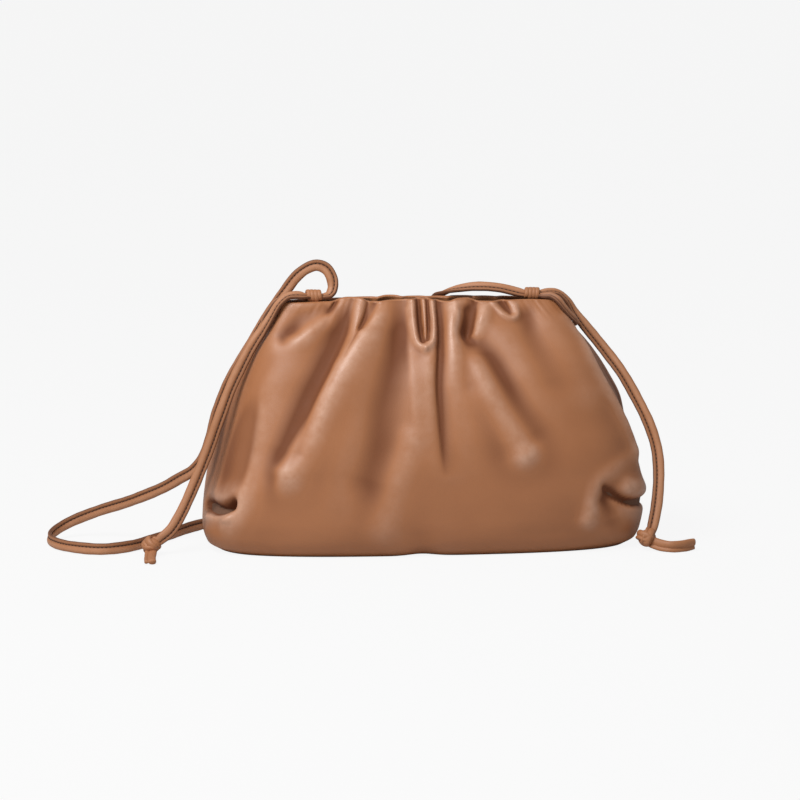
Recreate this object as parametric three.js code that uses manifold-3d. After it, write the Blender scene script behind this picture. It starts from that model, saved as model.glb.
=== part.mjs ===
// Gathered leather pouch bag with a knotted shoulder strap, in millimetres, +Z up.
// The origin is the middle of the base, and the front of the bag faces -Y.
import * as THREE from 'three';
import { mergeVertices } from 'three/addons/utils/BufferGeometryUtils.js';
import Module from 'manifold-3d';

// Driving sizes of the pouch
const BAG_WIDTH = 230;
const BAG_DEPTH = 86;
const BAG_HEIGHT = 127;
const MOUTH_WIDTH = 146;
const MOUTH_DEPTH = 15.5;
const WALL = 2.2;
const HEM_BULGE = 0.5;
const HEM_HEIGHT = 5;
const RIM_FOLD_SHARE = 0.42;
const FOOT_SHARE = 0.86;
const FOLD_WIDTH = 10;
const FOLD_DEPTH = 5;

// Driving sizes of the strap, its corner loops and its knots
const STRAP_WIDTH = 6;
const STRAP_THICKNESS = 2.8;
const LOOP_WIDTH = 4.2;
const LOOP_THICKNESS = 2.6;
const SLIP_KNOT_LENGTH = 9.6;
const SLIP_KNOT_DIAMETER = 7.2;
const SLIP_KNOT_WRAPS = 4;
const SLIP_KNOT_GROOVE = 0.45;
const SLIP_KNOT_SLANT = 0.14;
const SLIP_KNOT_FROM_MIDDLE = 56.8;
const SLIP_KNOT_ABOVE_RIM = 3.2;
const SLOT_BELOW_RIM = 12.6;
const SLOT_PAST_MOUTH = 3;
const SLOT_OFF_CENTRE = { left: 0.9, right: -1.4 };
const SLOT_CLEARANCE = 0.7;
const SLOT_DEPTH = 16;

// How finely the faceted solids are cut
const ROW_SHARES = [0, 0.02, 0.055, 0.1, 0.16, 0.225, 0.3, 0.38, 0.46, 0.54, 0.62, 0.69, 0.755, 0.815, 0.87,
  0.915, 0.95, 0.978, 1];
const COLUMNS = { front: 38, back: 24, side: 8 };
const SIDE_SHARE = 0.14;
const FOLD_STEPS = 12;
const NARROWEST_FOLD = 0.34;
const STRAP_STEPS_PER_SPAN = 2;
const ROUND_STEPS = 14;

// A table with named columns, as one object for each row.
const table = (columns, rows) => rows.map((row) => (
  Object.fromEntries(row.map((value, i) => [columns[i], value]))));

// Sections of the pouch from base to rim. The four corner columns go from the mouth's half width at 0 to
// the bag's at 1, front and back from the mouth's half depth at 0 to the bag's at 1, and square is the
// superellipse's power.
const SECTION_COLUMNS = [
  'height', 'frontLeft', 'frontRight', 'backLeft', 'backRight', 'front', 'back', 'square',
];
const SECTIONS = table(SECTION_COLUMNS, [
  [0.00, 0.82, 0.78, 0.82, 0.78, 0.74, 0.72, 3.0],
  [0.03, 0.98, 0.92, 0.94, 0.90, 0.86, 0.84, 3.1],
  [0.08, 1.03, 0.98, 1.01, 0.96, 0.94, 0.92, 3.2],
  [0.15, 0.99, 1.00, 1.03, 1.03, 0.985, 1.00, 3.3],
  [0.24, 0.85, 0.99, 1.05, 1.055, 1.00, 1.04, 3.3],
  [0.34, 0.67, 0.93, 1.05, 1.04, 0.99, 1.02, 3.2],
  [0.45, 0.52, 0.82, 0.99, 1.01, 0.95, 0.97, 3.1],
  [0.57, 0.42, 0.66, 0.83, 0.94, 0.87, 0.87, 3.0],
  [0.69, 0.35, 0.48, 0.63, 0.75, 0.75, 0.75, 2.9],
  [0.80, 0.27, 0.31, 0.42, 0.49, 0.57, 0.57, 2.9],
  [0.89, 0.17, 0.13, 0.22, 0.22, 0.36, 0.36, 3.0],
  [0.95, 0.08, 0.02, 0.10, 0.05, 0.18, 0.18, 3.2],
  [1.00, 0.00, -0.05, 0.00, -0.05, 0.00, 0.00, 3.6],
]);

// Folds of the leather, each a stroke on the wall through three places of around and height. Around is 0
// at the middle of the front, -1 and 1 at the sides and 2 at the middle of the back, and height is a share
// of the bag's. Widths and depths are shares of the two fold sizes at the first and last place, and a
// negative depth is a ridge. Power 2 is soft and 1 is a crease.
const FOLDS = table(['name', 'path', 'width', 'depth', 'power'], [
  ['left corner dent', [[-0.84, 0.98], [-0.83, 0.93], [-0.82, 0.87]], [0.7, 0.9], [0.48, 0.32], 2],
  ['left corner ridge', [[-0.68, 0.97], [-0.71, 0.92], [-0.79, 0.86]], [0.4, 0.6], [-0.32, -0.24], 2],
  ['left first notch', [[-0.64, 1.0], [-0.65, 0.95], [-0.71, 0.9]], [0.4, 0.4], [0.76, 0.24], 1.3],
  ['left long valley', [[-0.53, 1.0], [-0.63, 0.73], [-0.61, 0.41]], [0.5, 1], [0.76, 0.6], 1.8],
  ['left pleat edge', [[-0.42, 1.0], [-0.395, 0.97], [-0.37, 0.93]], [0.4, 0.4], [0.72, 0.52], 1.3],
  ['left pleat', [[-0.32, 1.0], [-0.43, 0.88], [-0.455, 0.71]], [0.4, 0.5], [0.64, 0.28], 1.2],
  ['left long ridge', [[-0.44, 0.81], [-0.505, 0.58], [-0.585, 0.31]], [0.6, 0.7], [-0.4, -0.68], 2],
  ['middle left valley', [[-0.14, 1.0], [-0.31, 0.79], [-0.235, 0.36]], [0.5, 1.1], [0.88, 0.48], 1.8],
  ['middle left ridge', [[-0.08, 0.88], [-0.145, 0.51], [-0.225, 0.07]], [0.6, 0.9], [-0.36, -0.36], 2],
  ['middle pocket', [[-0.02, 1.0], [-0.035, 0.92], [-0.035, 0.84]], [0.5, 0.5], [0.92, 0.68], 2.6],
  ['middle crease', [[0.095, 1.0], [0.015, 0.55], [0.085, 0.13]], [0.4, 0.7], [1.04, 0.36], 1],
  ['middle right ridge', [[0.18, 0.98], [0.09, 0.81], [0.14, 0.55]], [0.5, 0.9], [-0.48, -0.24], 2],
  ['right notch', [[0.365, 1.0], [0.25, 0.93], [0.225, 0.87]], [0.4, 0.4], [0.88, 0.52], 1.2],
  ['right long valley', [[0.24, 0.85], [0.355, 0.7], [0.385, 0.54]], [0.5, 1.1], [0.6, 0.28], 1.8],
  ['right long ridge', [[0.225, 0.82], [0.315, 0.62], [0.375, 0.41]], [0.5, 0.8], [-0.28, -0.56], 2],
  ['right small pocket', [[0.47, 1.0], [0.52, 0.94], [0.6, 0.95]], [0.4, 0.4], [0.56, 0.4], 1.6],
  ['right soft valley', [[0.72, 0.94], [0.74, 0.8], [0.76, 0.66]], [0.7, 1.2], [0.28, 0.2], 2],
  ['base dent', [[-0.03, 0.0], [-0.03, 0.04], [-0.03, 0.1]], [0.8, 0.8], [0.52, 0.2], 2],
  ['left panel edge', [[-0.765, 0.62], [-0.735, 0.4], [-0.77, 0.19]], [0.5, 0.5], [-0.32, -0.52], 1.6],
  ['left ear tuck', [[-0.79, 0.19], [-0.88, 0.2], [-1.0, 0.2]], [0.5, 0.6], [1, 1.8], 1.6],
  ['left gusset', [[-1.0, 0.3], [-1.0, 0.6], [-1.0, 0.9]], [1.5, 0.8], [1.6, 0.24], 2.4],
  ['right ear ridge', [[0.61, 0.22], [0.66, 0.33], [0.83, 0.37]], [0.5, 0.6], [-0.24, -0.4], 2],
  ['right ear tuck', [[0.64, 0.24], [0.72, 0.27], [0.9, 0.2]], [0.4, 0.6], [0.48, 1.12], 1.3],
  ['right gusset', [[1.0, 0.26], [1.0, 0.6], [1.0, 0.9]], [1.3, 0.8], [1.4, 0.24], 2.4],
]);

// Plain gathers of the back, which the picture doesn't show: where each starts, how it leans and how far it
// reaches.
const BACK_GATHERS = [
  { around: -0.72, lean: -0.12, reach: 0.50 }, { around: -0.52, lean: -0.14, reach: 0.30 },
  { around: -0.36, lean: -0.10, reach: 0.62 }, { around: -0.18, lean: -0.05, reach: 0.36 },
  { around: -0.03, lean: 0.00, reach: 0.70 }, { around: 0.14, lean: 0.04, reach: 0.40 },
  { around: 0.31, lean: 0.09, reach: 0.58 }, { around: 0.50, lean: 0.13, reach: 0.34 },
  { around: 0.70, lean: 0.12, reach: 0.50 },
];
const BACK_GATHER_WIDTH = [0.4, 0.8];
const BACK_GATHER_DEPTH = [0.76, 0.2];

// Routes of the strap and the loops, as x, y, z and the direction that the leather's face looks in.
const MAIN_ROUTE = [
  [-50.8, 0.0, 130.2, [0, -0.2, 1]], [-48.4, 0.6, 130.8, [-0.5, -0.4, 1]],
  [-46.6, 2.4, 134.4, [-0.7, -1, 0.2]], [-47.2, 3.6, 139.6, [0, -1, 0]], [-50.0, 4.6, 144.0, [0, -1, 0]],
  [-54.8, 5.2, 145.7, [0, -1, 0]], [-60.4, 5.8, 143.7, [0, -1, 0]], [-65.4, 6.2, 139.6, [-0.1, -1, 0]],
  [-70.6, 6.7, 132.8, [-0.3, -1, 0.1]], [-76.0, 7.0, 125.6, [-0.6, -0.8, 0.3]],
  [-83.2, 6.5, 115.2, [-0.8, -0.7, 0.3]], [-89.4, 5.5, 104.4, [-0.7, -0.8, 0.2]],
  [-96.2, 4.6, 93.2, [-0.4, -1, 0]], [-102.0, 3.2, 82.2, [-0.2, -1, 0]], [-106.9, 1.4, 69.8, [-0.2, -1, 0]],
  [-110.4, -0.6, 57.1, [-0.2, -1, 0]], [-114.2, -1.6, 46.9, [-0.2, -1, 0.1]],
  [-119.8, -1.2, 40.2, [-0.2, -1, 0.1]], [-127.1, 1.4, 35.4, [-0.1, -1, 0.1]],
  [-135.4, 5.6, 30.0, [0, -1, 0.1]], [-152.8, 15.0, 21.3, [0.2, -1, 0.1]],
  [-170.3, 23.0, 14.4, [0.3, -1, 0.1]], [-184.7, 25.0, 8.4, [0.8, -1, 0.1]],
  [-192.9, 18.0, 4.8, [1, -0.3, 0]], [-194.6, 7.0, 3.6, [1, 0.1, 0]], [-190.0, -4.6, 3.4, [0.9, 0.6, 0]],
  [-180.0, -14.2, 3.4, [0.4, 1, 0]], [-166.4, -19.4, 3.4, [0, 1, 0]], [-152.7, -13.4, 3.4, [-0.7, 1, 0]],
  [-141.0, 0.8, 3.4, [-1, 0.7, 0]], [-130.6, 16.0, 3.4, [-1, 0.7, 0]], [-119.6, 32.0, 3.4, [-1, 0.7, 0]],
  [-104.0, 46.5, 3.4, [-0.5, 1, 0]], [-78.0, 54.0, 3.4, [-0.1, 1, 0]], [-46.0, 56.0, 3.4, [0, 1, 0]],
  [-14.0, 55.0, 3.4, [0.1, 1, 0.1]], [12.0, 53.0, 6.5, [0.4, 1, 0.3]], [27.0, 50.5, 18.0, [0.6, 1, 0.1]],
  [29.0, 48.6, 34.0, [0.2, 1, 0]], [24.5, 46.2, 52.0, [0, 1, 0.1]], [18.5, 41.6, 74.0, [0, 1, 0.3]],
  [13.0, 33.8, 96.0, [0, 1, 0.5]], [9.0, 22.5, 115.0, [0, 1, 0.8]], [8.4, 12.6, 127.6, [0, 0.6, 1]],
  [12.4, 7.4, 130.8, [0, 0, 1]], [20.5, 4.2, 133.2, [0, -0.5, 1]], [29.0, 2.4, 134.2, [0.1, -0.8, 1]],
  [40.1, 1.0, 133.4, [0.2, -0.8, 1]], [51.0, 0.2, 130.8, [0.2, -0.8, 1]],
];
const LEFT_TAIL_ROUTE = [
  [-62.3, -3.3, 131.0, [0, -0.4, 1]], [-66.0, -3.8, 131.4, [0, -0.5, 1]],
  [-70.6, -4.2, 130.6, [-0.5, -0.4, 1]], [-75.2, -4.7, 126.6, [-0.9, -0.5, 0.7]],
  [-79.2, -5.0, 121.3, [-0.9, -0.6, 0.5]], [-83.2, -5.2, 115.2, [-0.8, -0.8, 0.3]],
  [-88.3, -5.4, 106.6, [-0.5, -1, 0.1]], [-94.4, -6.0, 95.6, [-0.2, -1, 0]],
  [-99.9, -7.0, 84.4, [-0.1, -1, 0]], [-105.4, -8.5, 70.4, [0, -1, 0]], [-112.2, -10.5, 52.0, [0, -1, 0]],
  [-119.2, -13.5, 35.4, [0, -1, 0]], [-126.4, -17.2, 20.6, [0, -1, 0]],
  [-131.6, -19.6, 12.8, [0.1, -1, 0.1]], [-136.3, -20.9, 8.9, [0.2, -1, 0.2]],
];
const RIGHT_TAIL_ROUTE = [
  [62.3, 2.6, 130.4, [0, -0.2, 1]], [65.8, 2.8, 130.9, [0.1, -0.3, 1]], [70.5, 3.0, 130.4, [0.5, -0.3, 1]],
  [75.5, 3.0, 126.5, [0.9, -0.5, 0.7]], [79.6, 2.9, 120.1, [0.8, -0.8, 0.4]],
  [84.3, 2.0, 114.0, [0.5, -1, 0.2]], [90.0, 1.0, 107.0, [0.3, -1, 0.1]], [96.0, -0.6, 99.5, [0.2, -1, 0]],
  [103.2, -4.4, 89.7, [0.1, -1, 0]], [110.2, -8.0, 77.4, [0.1, -1, 0]], [117.0, -12.0, 63.1, [0, -1, 0]],
  [120.7, -15.0, 50.5, [0, -1, 0]], [121.3, -19.0, 38.7, [0, -1, 0]], [119.6, -24.6, 23.9, [0, -1, 0]],
  [116.6, -29.0, 11.9, [0, -1, 0.1]],
];
const RIGHT_LOOP_ROUTE = [
  [62.3, -3.3, 129.6, [0, -0.3, 1]], [66.0, -4.6, 129.8, [0.2, -0.5, 1]],
  [69.8, -6.0, 128.2, [0.5, -0.8, 0.6]], [73.8, -6.3, 124.8, [0.8, -0.7, 0.4]],
  [77.5, -5.3, 120.7, [0.9, -0.5, 0.3]], [79.9, -3.4, 117.1, [1, -0.2, 0.1]],
  [79.6, -2.0, 114.9, [0.5, 0, -0.9]], [76.6, -1.4, 114.3, [0, 0, -1]], [72.0, -1.4, 114.4, [0, 0, -1]],
  [68.0, -1.2, 116.4, [-0.6, 0, -0.9]], [65.6, -0.8, 120.4, [-1, 0, -0.4]],
  [64.0, -0.4, 124.4, [-1, 0, -0.4]],
];
const LEFT_LOOP_ROUTE = [
  [-62.3, 1.9, 129.6, [0, 0.2, 1]], [-66.0, 1.9, 130.1, [0, 0.2, 1]], [-70.6, 1.6, 130.0, [-0.3, 0.1, 1]],
  [-75.6, 1.3, 127.8, [-0.8, 0.1, 0.7]], [-79.6, 1.2, 122.9, [-1, 0.1, 0.4]],
  [-82.4, 1.1, 118.2, [-1, 0, 0.1]], [-82.4, 1.0, 115.3, [-0.5, 0, -0.9]], [-79.4, 0.9, 114.3, [0, 0, -1]],
  [-74.0, 0.9, 114.4, [0, 0, -1]], [-69.6, 0.7, 116.4, [0.6, 0, -0.9]], [-66.8, 0.5, 120.4, [1, 0, -0.4]],
  [-65.0, 0.3, 124.4, [1, 0, -0.4]],
];

// End knots: middle, half sizes of the core, the two bands' axes, and the route of the free end.
const END_KNOTS = [
  {
    name: 'end_knot_left', centre: [-141.2, -21.6, 5.4], half: [4.4, 4.0, 3.9],
    bands: [[0.75, -0.1, 0.65], [-0.2, -0.35, 0.9]],
    free: [
      [-141.6, -22.0, 3.6, [0.1, 0.1, 1]], [-142.2, -29.0, 2.1, [0, 0.1, 1]],
      [-142.4, -36.5, 1.7, [0, 0, 1]], [-142.2, -43.5, 1.7, [0, 0, 1]],
    ],
  },
  {
    name: 'end_knot_right', centre: [113.6, -30.4, 6.2], half: [4.9, 4.6, 4.7],
    bands: [[0.9, -0.25, -0.35], [0.45, 0.2, 0.85]],
    free: [
      [114.5, -32.0, 5.0, [0, -1, 0.3]], [119.5, -36.0, 3.7, [-0.2, -1, 0.3]],
      [125.0, -38.6, 3.3, [0, -1, 0.2]], [131.6, -37.2, 3.3, [0.3, -1, 0.1]],
      [137.6, -33.0, 3.3, [0.5, -1, 0]],
    ],
  },
];

const wasm = await Module();
wasm.setup();

const { lerp, clamp, smoothstep } = THREE.MathUtils;

// Value of a column of the sections at a height, by a smooth curve through its rows that doesn't overshoot.
function sectionAt(column, height) {
  const rows = SECTIONS;
  let i = 0;
  while (i < rows.length - 2 && height > rows[i + 1].height) i += 1;
  const slope = (k) => (rows[k + 1][column] - rows[k][column]) / (rows[k + 1].height - rows[k].height);
  const tangent = (k) => {
    if (k === 0 || k === rows.length - 1) return slope(Math.min(k, rows.length - 2));
    const [before, after] = [slope(k - 1), slope(k)];
    return before * after <= 0 ? 0 : 2 * before * after / (before + after);
  };
  const span = rows[i + 1].height - rows[i].height;
  const t = clamp((height - rows[i].height) / span, 0, 1);
  return (2 * t ** 3 - 3 * t ** 2 + 1) * rows[i][column] + (t ** 3 - 2 * t ** 2 + t) * span * tangent(i)
    + (3 * t ** 2 - 2 * t ** 3) * rows[i + 1][column] + (t ** 3 - t ** 2) * span * tangent(i + 1);
}

// One quarter of a section, from the middle of the front or back to the side, with the length so far.
const QUARTER_SAMPLES = 90;
const quarterCache = new Map();
function quarter(height, back, right) {
  const key = `${height.toFixed(5)} ${back} ${right}`;
  if (quarterCache.has(key)) return quarterCache.get(key);
  const halfWidth = (column) => lerp(MOUTH_WIDTH, BAG_WIDTH, sectionAt(column, height)) / 2;
  const atFront = halfWidth(right ? 'frontRight' : 'frontLeft');
  const atBack = halfWidth(right ? 'backRight' : 'backLeft');
  const halfDepth = lerp(MOUTH_DEPTH, BAG_DEPTH, sectionAt(back ? 'back' : 'front', height)) / 2;
  const power = sectionAt('square', height);
  const points = [];
  const lengths = [0];
  for (let i = 0; i <= QUARTER_SAMPLES; i += 1) {
    const angle = (i / QUARTER_SAMPLES) ** 1.5 * Math.PI / 2;
    const across = Math.sin(angle) ** (2 / power) * (right ? 1 : -1);
    const deep = Math.max(Math.cos(angle), 0) ** (2 / power) * (back ? 1 : -1);
    points.push([across * lerp(atFront, atBack, smoothstep(deep, -1, 1)), deep * halfDepth]);
    if (i > 0) {
      const [before, here] = points.slice(-2);
      lengths.push(lengths[i - 1] + Math.hypot(here[0] - before[0], here[1] - before[1]));
    }
  }
  quarterCache.set(key, { points, lengths });
  return quarterCache.get(key);
}

// Point of the pouch's smooth form, before its folds.
function formPoint(around, height) {
  const turned = ((around + 2) % 4 + 4) % 4 - 2;
  const back = Math.abs(turned) > 1;
  const { points, lengths } = quarter(height, back, turned >= 0);
  const wanted = (back ? 2 - Math.abs(turned) : Math.abs(turned)) * lengths.at(-1);
  let i = 0;
  while (i < lengths.length - 2 && lengths[i + 1] < wanted) i += 1;
  const t = (wanted - lengths[i]) / (lengths[i + 1] - lengths[i]);
  return new THREE.Vector3(lerp(points[i][0], points[i + 1][0], t), lerp(points[i][1], points[i + 1][1], t),
    height * BAG_HEIGHT);
}

// Outward direction of the smooth form, kept level at the rim.
const NORMAL_STEP = 0.01;
const LEVEL_FROM = 0.9;
function formNormal(around, height) {
  const along = formPoint(around + NORMAL_STEP, height).sub(formPoint(around - NORMAL_STEP, height));
  const low = clamp(height - NORMAL_STEP, 0, 1);
  const high = clamp(height + NORMAL_STEP, 0, 1);
  const normal = along.cross(formPoint(around, high).sub(formPoint(around, low))).normalize();
  normal.z *= 1 - smoothstep(height, LEVEL_FROM, 1);
  return normal.normalize();
}

// A fold's path as points on the smooth form, by a quadratic curve through its three places.
function foldPath({ path: [from, middle, to] }) {
  return Array.from({ length: FOLD_STEPS + 1 }, (_, i) => {
    const t = i / FOLD_STEPS;
    const shares = [(1 - t) * (1 - 2 * t), 4 * t * (1 - t), t * (2 * t - 1)];
    const mix = (k) => shares[0] * from[k] + shares[1] * middle[k] + shares[2] * to[k];
    return { t, around: mix(0), place: formPoint(mix(0), clamp(mix(1), 0, 1)) };
  });
}

const backFolds = BACK_GATHERS.map(({ around, lean, reach }) => ({
  path: [[2 + around, 1], [2 + around + lean / 2, 1 - reach / 2], [2 + around + lean, 1 - reach]],
  width: BACK_GATHER_WIDTH, depth: BACK_GATHER_DEPTH, power: 1.4,
}));
const folds = [...FOLDS, ...backFolds].map((fold) => ({ ...fold, steps: foldPath(fold) }));

// How far the folds together push a place of the wall inwards, less at the rim, where the hem holds them.
const NEAR_AROUND = 0.5;
function foldDepth(around, height) {
  const place = formPoint(around, height);
  let depth = 0;
  for (const fold of folds) {
    let nearest = Infinity;
    let at = 0;
    for (let i = 0; i < FOLD_STEPS; i += 1) {
      const [a, b] = [fold.steps[i], fold.steps[i + 1]];
      const apart = Math.abs(((around - a.around + 2) % 4 + 4) % 4 - 2);
      if (apart > NEAR_AROUND) continue;
      const run = b.place.clone().sub(a.place);
      const t = clamp(place.clone().sub(a.place).dot(run) / run.lengthSq(), 0, 1);
      const off = run.multiplyScalar(t).add(a.place).distanceTo(place);
      if (off < nearest) [nearest, at] = [off, lerp(a.t, b.t, t)];
    }
    const width = FOLD_WIDTH * Math.max(NARROWEST_FOLD, lerp(...fold.width, at));
    const share = Math.exp(-((nearest / width) ** fold.power));
    if (nearest < 4 * width) depth += FOLD_DEPTH * lerp(...fold.depth, at) * share;
  }
  return depth * lerp(1, RIM_FOLD_SHARE, smoothstep(height, LEVEL_FROM, 1));
}

// Columns round the pouch, closer together on the front than on the back.
function columnPlaces() {
  const runs = [
    { from: -1 + SIDE_SHARE, to: 1 - SIDE_SHARE, count: COLUMNS.front },
    { from: 1 - SIDE_SHARE, to: 1 + SIDE_SHARE, count: COLUMNS.side },
    { from: 1 + SIDE_SHARE, to: 3 - SIDE_SHARE, count: COLUMNS.back },
    { from: 3 - SIDE_SHARE, to: 3 + SIDE_SHARE, count: COLUMNS.side },
  ];
  return runs.flatMap(({ from, to, count }) => (
    Array.from({ length: count }, (_, i) => lerp(from, to, i / count))));
}

// The pouch: a foot ring under the base, the outer wall to the rim, and the inner wall down to the floor.
function pouchGeometry() {
  const outer = [];
  const inner = [];
  for (const height of ROW_SHARES) {
    const hem = HEM_BULGE * smoothstep(height * BAG_HEIGHT, BAG_HEIGHT - HEM_HEIGHT, BAG_HEIGHT);
    const places = columnPlaces().map((around) => ({
      place: formPoint(around, height),
      normal: formNormal(around, height),
      depth: foldDepth(around, height),
    }));
    const moved = ({ place, normal }, by, floor) => {
      const point = place.clone().addScaledVector(normal, by);
      return point.setZ(clamp(point.z, floor, BAG_HEIGHT));
    };
    outer.push(places.map((at) => moved(at, hem - at.depth, 0)));
    inner.unshift(places.map((at) => moved(at, -hem - at.depth - WALL, WALL)));
  }
  const rim = outer.at(-1).map((point, i) => (
    point.clone().lerp(inner[0][i], 0.5).setZ(BAG_HEIGHT + WALL / 4)));
  const foot = outer[0].map(({ x, y }) => new THREE.Vector3(x * FOOT_SHARE, y * FOOT_SHARE, 0));
  return closedLoft([foot, ...outer, rim, ...inner]);
}

// A closed body through rings of points, with a fan of triangles over the first and the last ring.
function closedLoft(rings) {
  const count = rings[0].length;
  const middle = (ring) => ring.reduce((sum, p) => sum.add(p), new THREE.Vector3()).divideScalar(count);
  const points = [...rings.flat(), middle(rings[0]), middle(rings.at(-1))];
  const index = [];
  for (let r = 0; r < rings.length - 1; r += 1) {
    for (let i = 0; i < count; i += 1) {
      const [a, b] = [r * count + i, r * count + (i + 1) % count];
      index.push(a, b, b + count, a, b + count, a + count);
    }
  }
  const lastRing = (rings.length - 1) * count;
  const ends = rings.length * count;
  for (let i = 0; i < count; i += 1) {
    const next = (i + 1) % count;
    index.push(ends, next, i, ends + 1, lastRing + i, lastRing + next);
  }
  const geometry = new THREE.BufferGeometry().setFromPoints(points);
  geometry.setIndex(index);
  return geometry;
}

// Flat leather section with rounded edges: x across its width and y through its thickness.
function flatSection(width, thickness) {
  const [edge, side] = [thickness * 0.24, width / 2 - thickness * 0.3];
  const rightEdge = [[width / 2, -edge], [width / 2, edge], [side, thickness / 2], [-side, thickness / 2]];
  return [...rightEdge, ...rightEdge.map(([x, y]) => [-x, -y])];
}

// A flat strip along a route whose rows are x, y, z and the direction that its face looks in.
function stripGeometry(route, section, stepsPerSpan = STRAP_STEPS_PER_SPAN) {
  const curve = (points) => new THREE.CatmullRomCurve3(points, false, 'centripetal');
  const line = curve(route.map(([x, y, z]) => new THREE.Vector3(x, y, z)));
  const steps = (route.length - 1) * stepsPerSpan;
  const rings = [];
  for (let i = 0; i <= steps; i += 1) {
    const t = i / steps;
    const row = Math.min(Math.floor(t * (route.length - 1)), route.length - 2);
    const look = new THREE.Vector3(...route[row][3]).normalize()
      .lerp(new THREE.Vector3(...route[row + 1][3]).normalize(), t * (route.length - 1) - row);
    const along = line.getTangent(t);
    const across = look.cross(along).normalize();
    const face = along.clone().cross(across);
    const centre = line.getPoint(t);
    rings.push(section.map(([x, y]) => (
      centre.clone().addScaledVector(across, x).addScaledVector(face, y))));
  }
  return closedLoft(rings);
}

// The coil of a slip knot along X, its wraps slanted and parted by shallow grooves.
function slipKnotGeometry(x) {
  const STATIONS_PER_WRAP = 3;
  const steps = SLIP_KNOT_WRAPS * STATIONS_PER_WRAP;
  const rings = [];
  for (let i = 0; i <= steps; i += 1) {
    const groove = Math.abs(Math.cos(Math.PI * i / STATIONS_PER_WRAP)) ** 4 * SLIP_KNOT_GROOVE;
    const atEnd = i === 0 || i === steps ? SLIP_KNOT_GROOVE : 0;
    const radius = SLIP_KNOT_DIAMETER / 2 - groove - atEnd;
    const along = (i / steps - 0.5) * SLIP_KNOT_LENGTH;
    rings.push(Array.from({ length: ROUND_STEPS }, (_, k) => {
      const angle = 2 * Math.PI * k / ROUND_STEPS;
      const slant = i === 0 || i === steps ? 0 : SLIP_KNOT_SLANT * radius * Math.cos(angle);
      return new THREE.Vector3(x + along + slant, radius * Math.cos(angle),
        BAG_HEIGHT + SLIP_KNOT_ABOVE_RIM + radius * Math.sin(angle));
    }));
  }
  return closedLoft(rings);
}

// Solids of the boolean library from a geometry, and back.
function toSolid(geometry) {
  const bare = geometry.clone();
  bare.deleteAttribute('normal');
  bare.deleteAttribute('uv');
  const merged = mergeVertices(bare, 1e-4);
  return new wasm.Manifold(new wasm.Mesh({
    numProp: 3,
    vertProperties: merged.attributes.position.array,
    triVerts: new Uint32Array(merged.index.array),
  }));
}
function toGeometry(solid) {
  const mesh = solid.getMesh();
  const geometry = new THREE.BufferGeometry();
  geometry.setAttribute('position', new THREE.BufferAttribute(new Float32Array(mesh.vertProperties), 3));
  geometry.setIndex(new THREE.BufferAttribute(new Uint32Array(mesh.triVerts), 1));
  return geometry;
}

// An end knot: a round core, two bands of the strap round it, and the free end.
function endKnotGeometry({ centre, half, bands, free }) {
  const BAND_STEPS = 9;
  const BAND_TURN = 1.75 * Math.PI;
  const SUNK = 0.5;
  const middle = new THREE.Vector3(...centre);
  const core = new THREE.SphereGeometry(1, ROUND_STEPS, ROUND_STEPS / 2);
  let knot = toSolid(core.scale(...half).translate(...centre));
  for (const axis of bands) {
    const turn = new THREE.Quaternion().setFromUnitVectors(new THREE.Vector3(0, 0, 1),
      new THREE.Vector3(...axis).normalize());
    const route = Array.from({ length: BAND_STEPS }, (_, i) => {
      const angle = (i / (BAND_STEPS - 1)) * BAND_TURN;
      const out = new THREE.Vector3(Math.cos(angle), Math.sin(angle), 0).applyQuaternion(turn);
      const sink = i === 0 || i === BAND_STEPS - 1 ? SUNK : 1;
      const place = out.clone().multiply(new THREE.Vector3(...half)).multiplyScalar(sink).add(middle);
      return [...place.toArray(), out.toArray()];
    });
    const band = flatSection(STRAP_WIDTH * 0.85, STRAP_THICKNESS * 0.8);
    knot = knot.add(toSolid(stripGeometry(route, band, 1)));
  }
  return toGeometry(knot.add(toSolid(stripGeometry(free, flatSection(STRAP_WIDTH, STRAP_THICKNESS)))));
}

// Cutter of the slot that a corner loop passes through in the side of the pouch.
function slotCutter(side, y) {
  const [wide, high] = [LOOP_WIDTH + 2 * SLOT_CLEARANCE, LOOP_THICKNESS + 2 * SLOT_CLEARANCE];
  const box = new THREE.BoxGeometry(SLOT_DEPTH, wide, high);
  const fromMiddle = MOUTH_WIDTH / 2 + SLOT_PAST_MOUTH;
  return toSolid(box.translate(side * fromMiddle, y, BAG_HEIGHT - SLOT_BELOW_RIM));
}

const leather = (color, roughness) => new THREE.MeshStandardMaterial({ color, roughness, metalness: 0 });
const group = new THREE.Group();
function addPart(name, geometry, color, roughness) {
  const part = new THREE.Mesh(geometry, leather(color, roughness));
  part.name = name;
  group.add(part);
}

const strap = flatSection(STRAP_WIDTH, STRAP_THICKNESS);
const loop = flatSection(LOOP_WIDTH, LOOP_THICKNESS);
const slots = slotCutter(1, SLOT_OFF_CENTRE.right).add(slotCutter(-1, SLOT_OFF_CENTRE.left));

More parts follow.
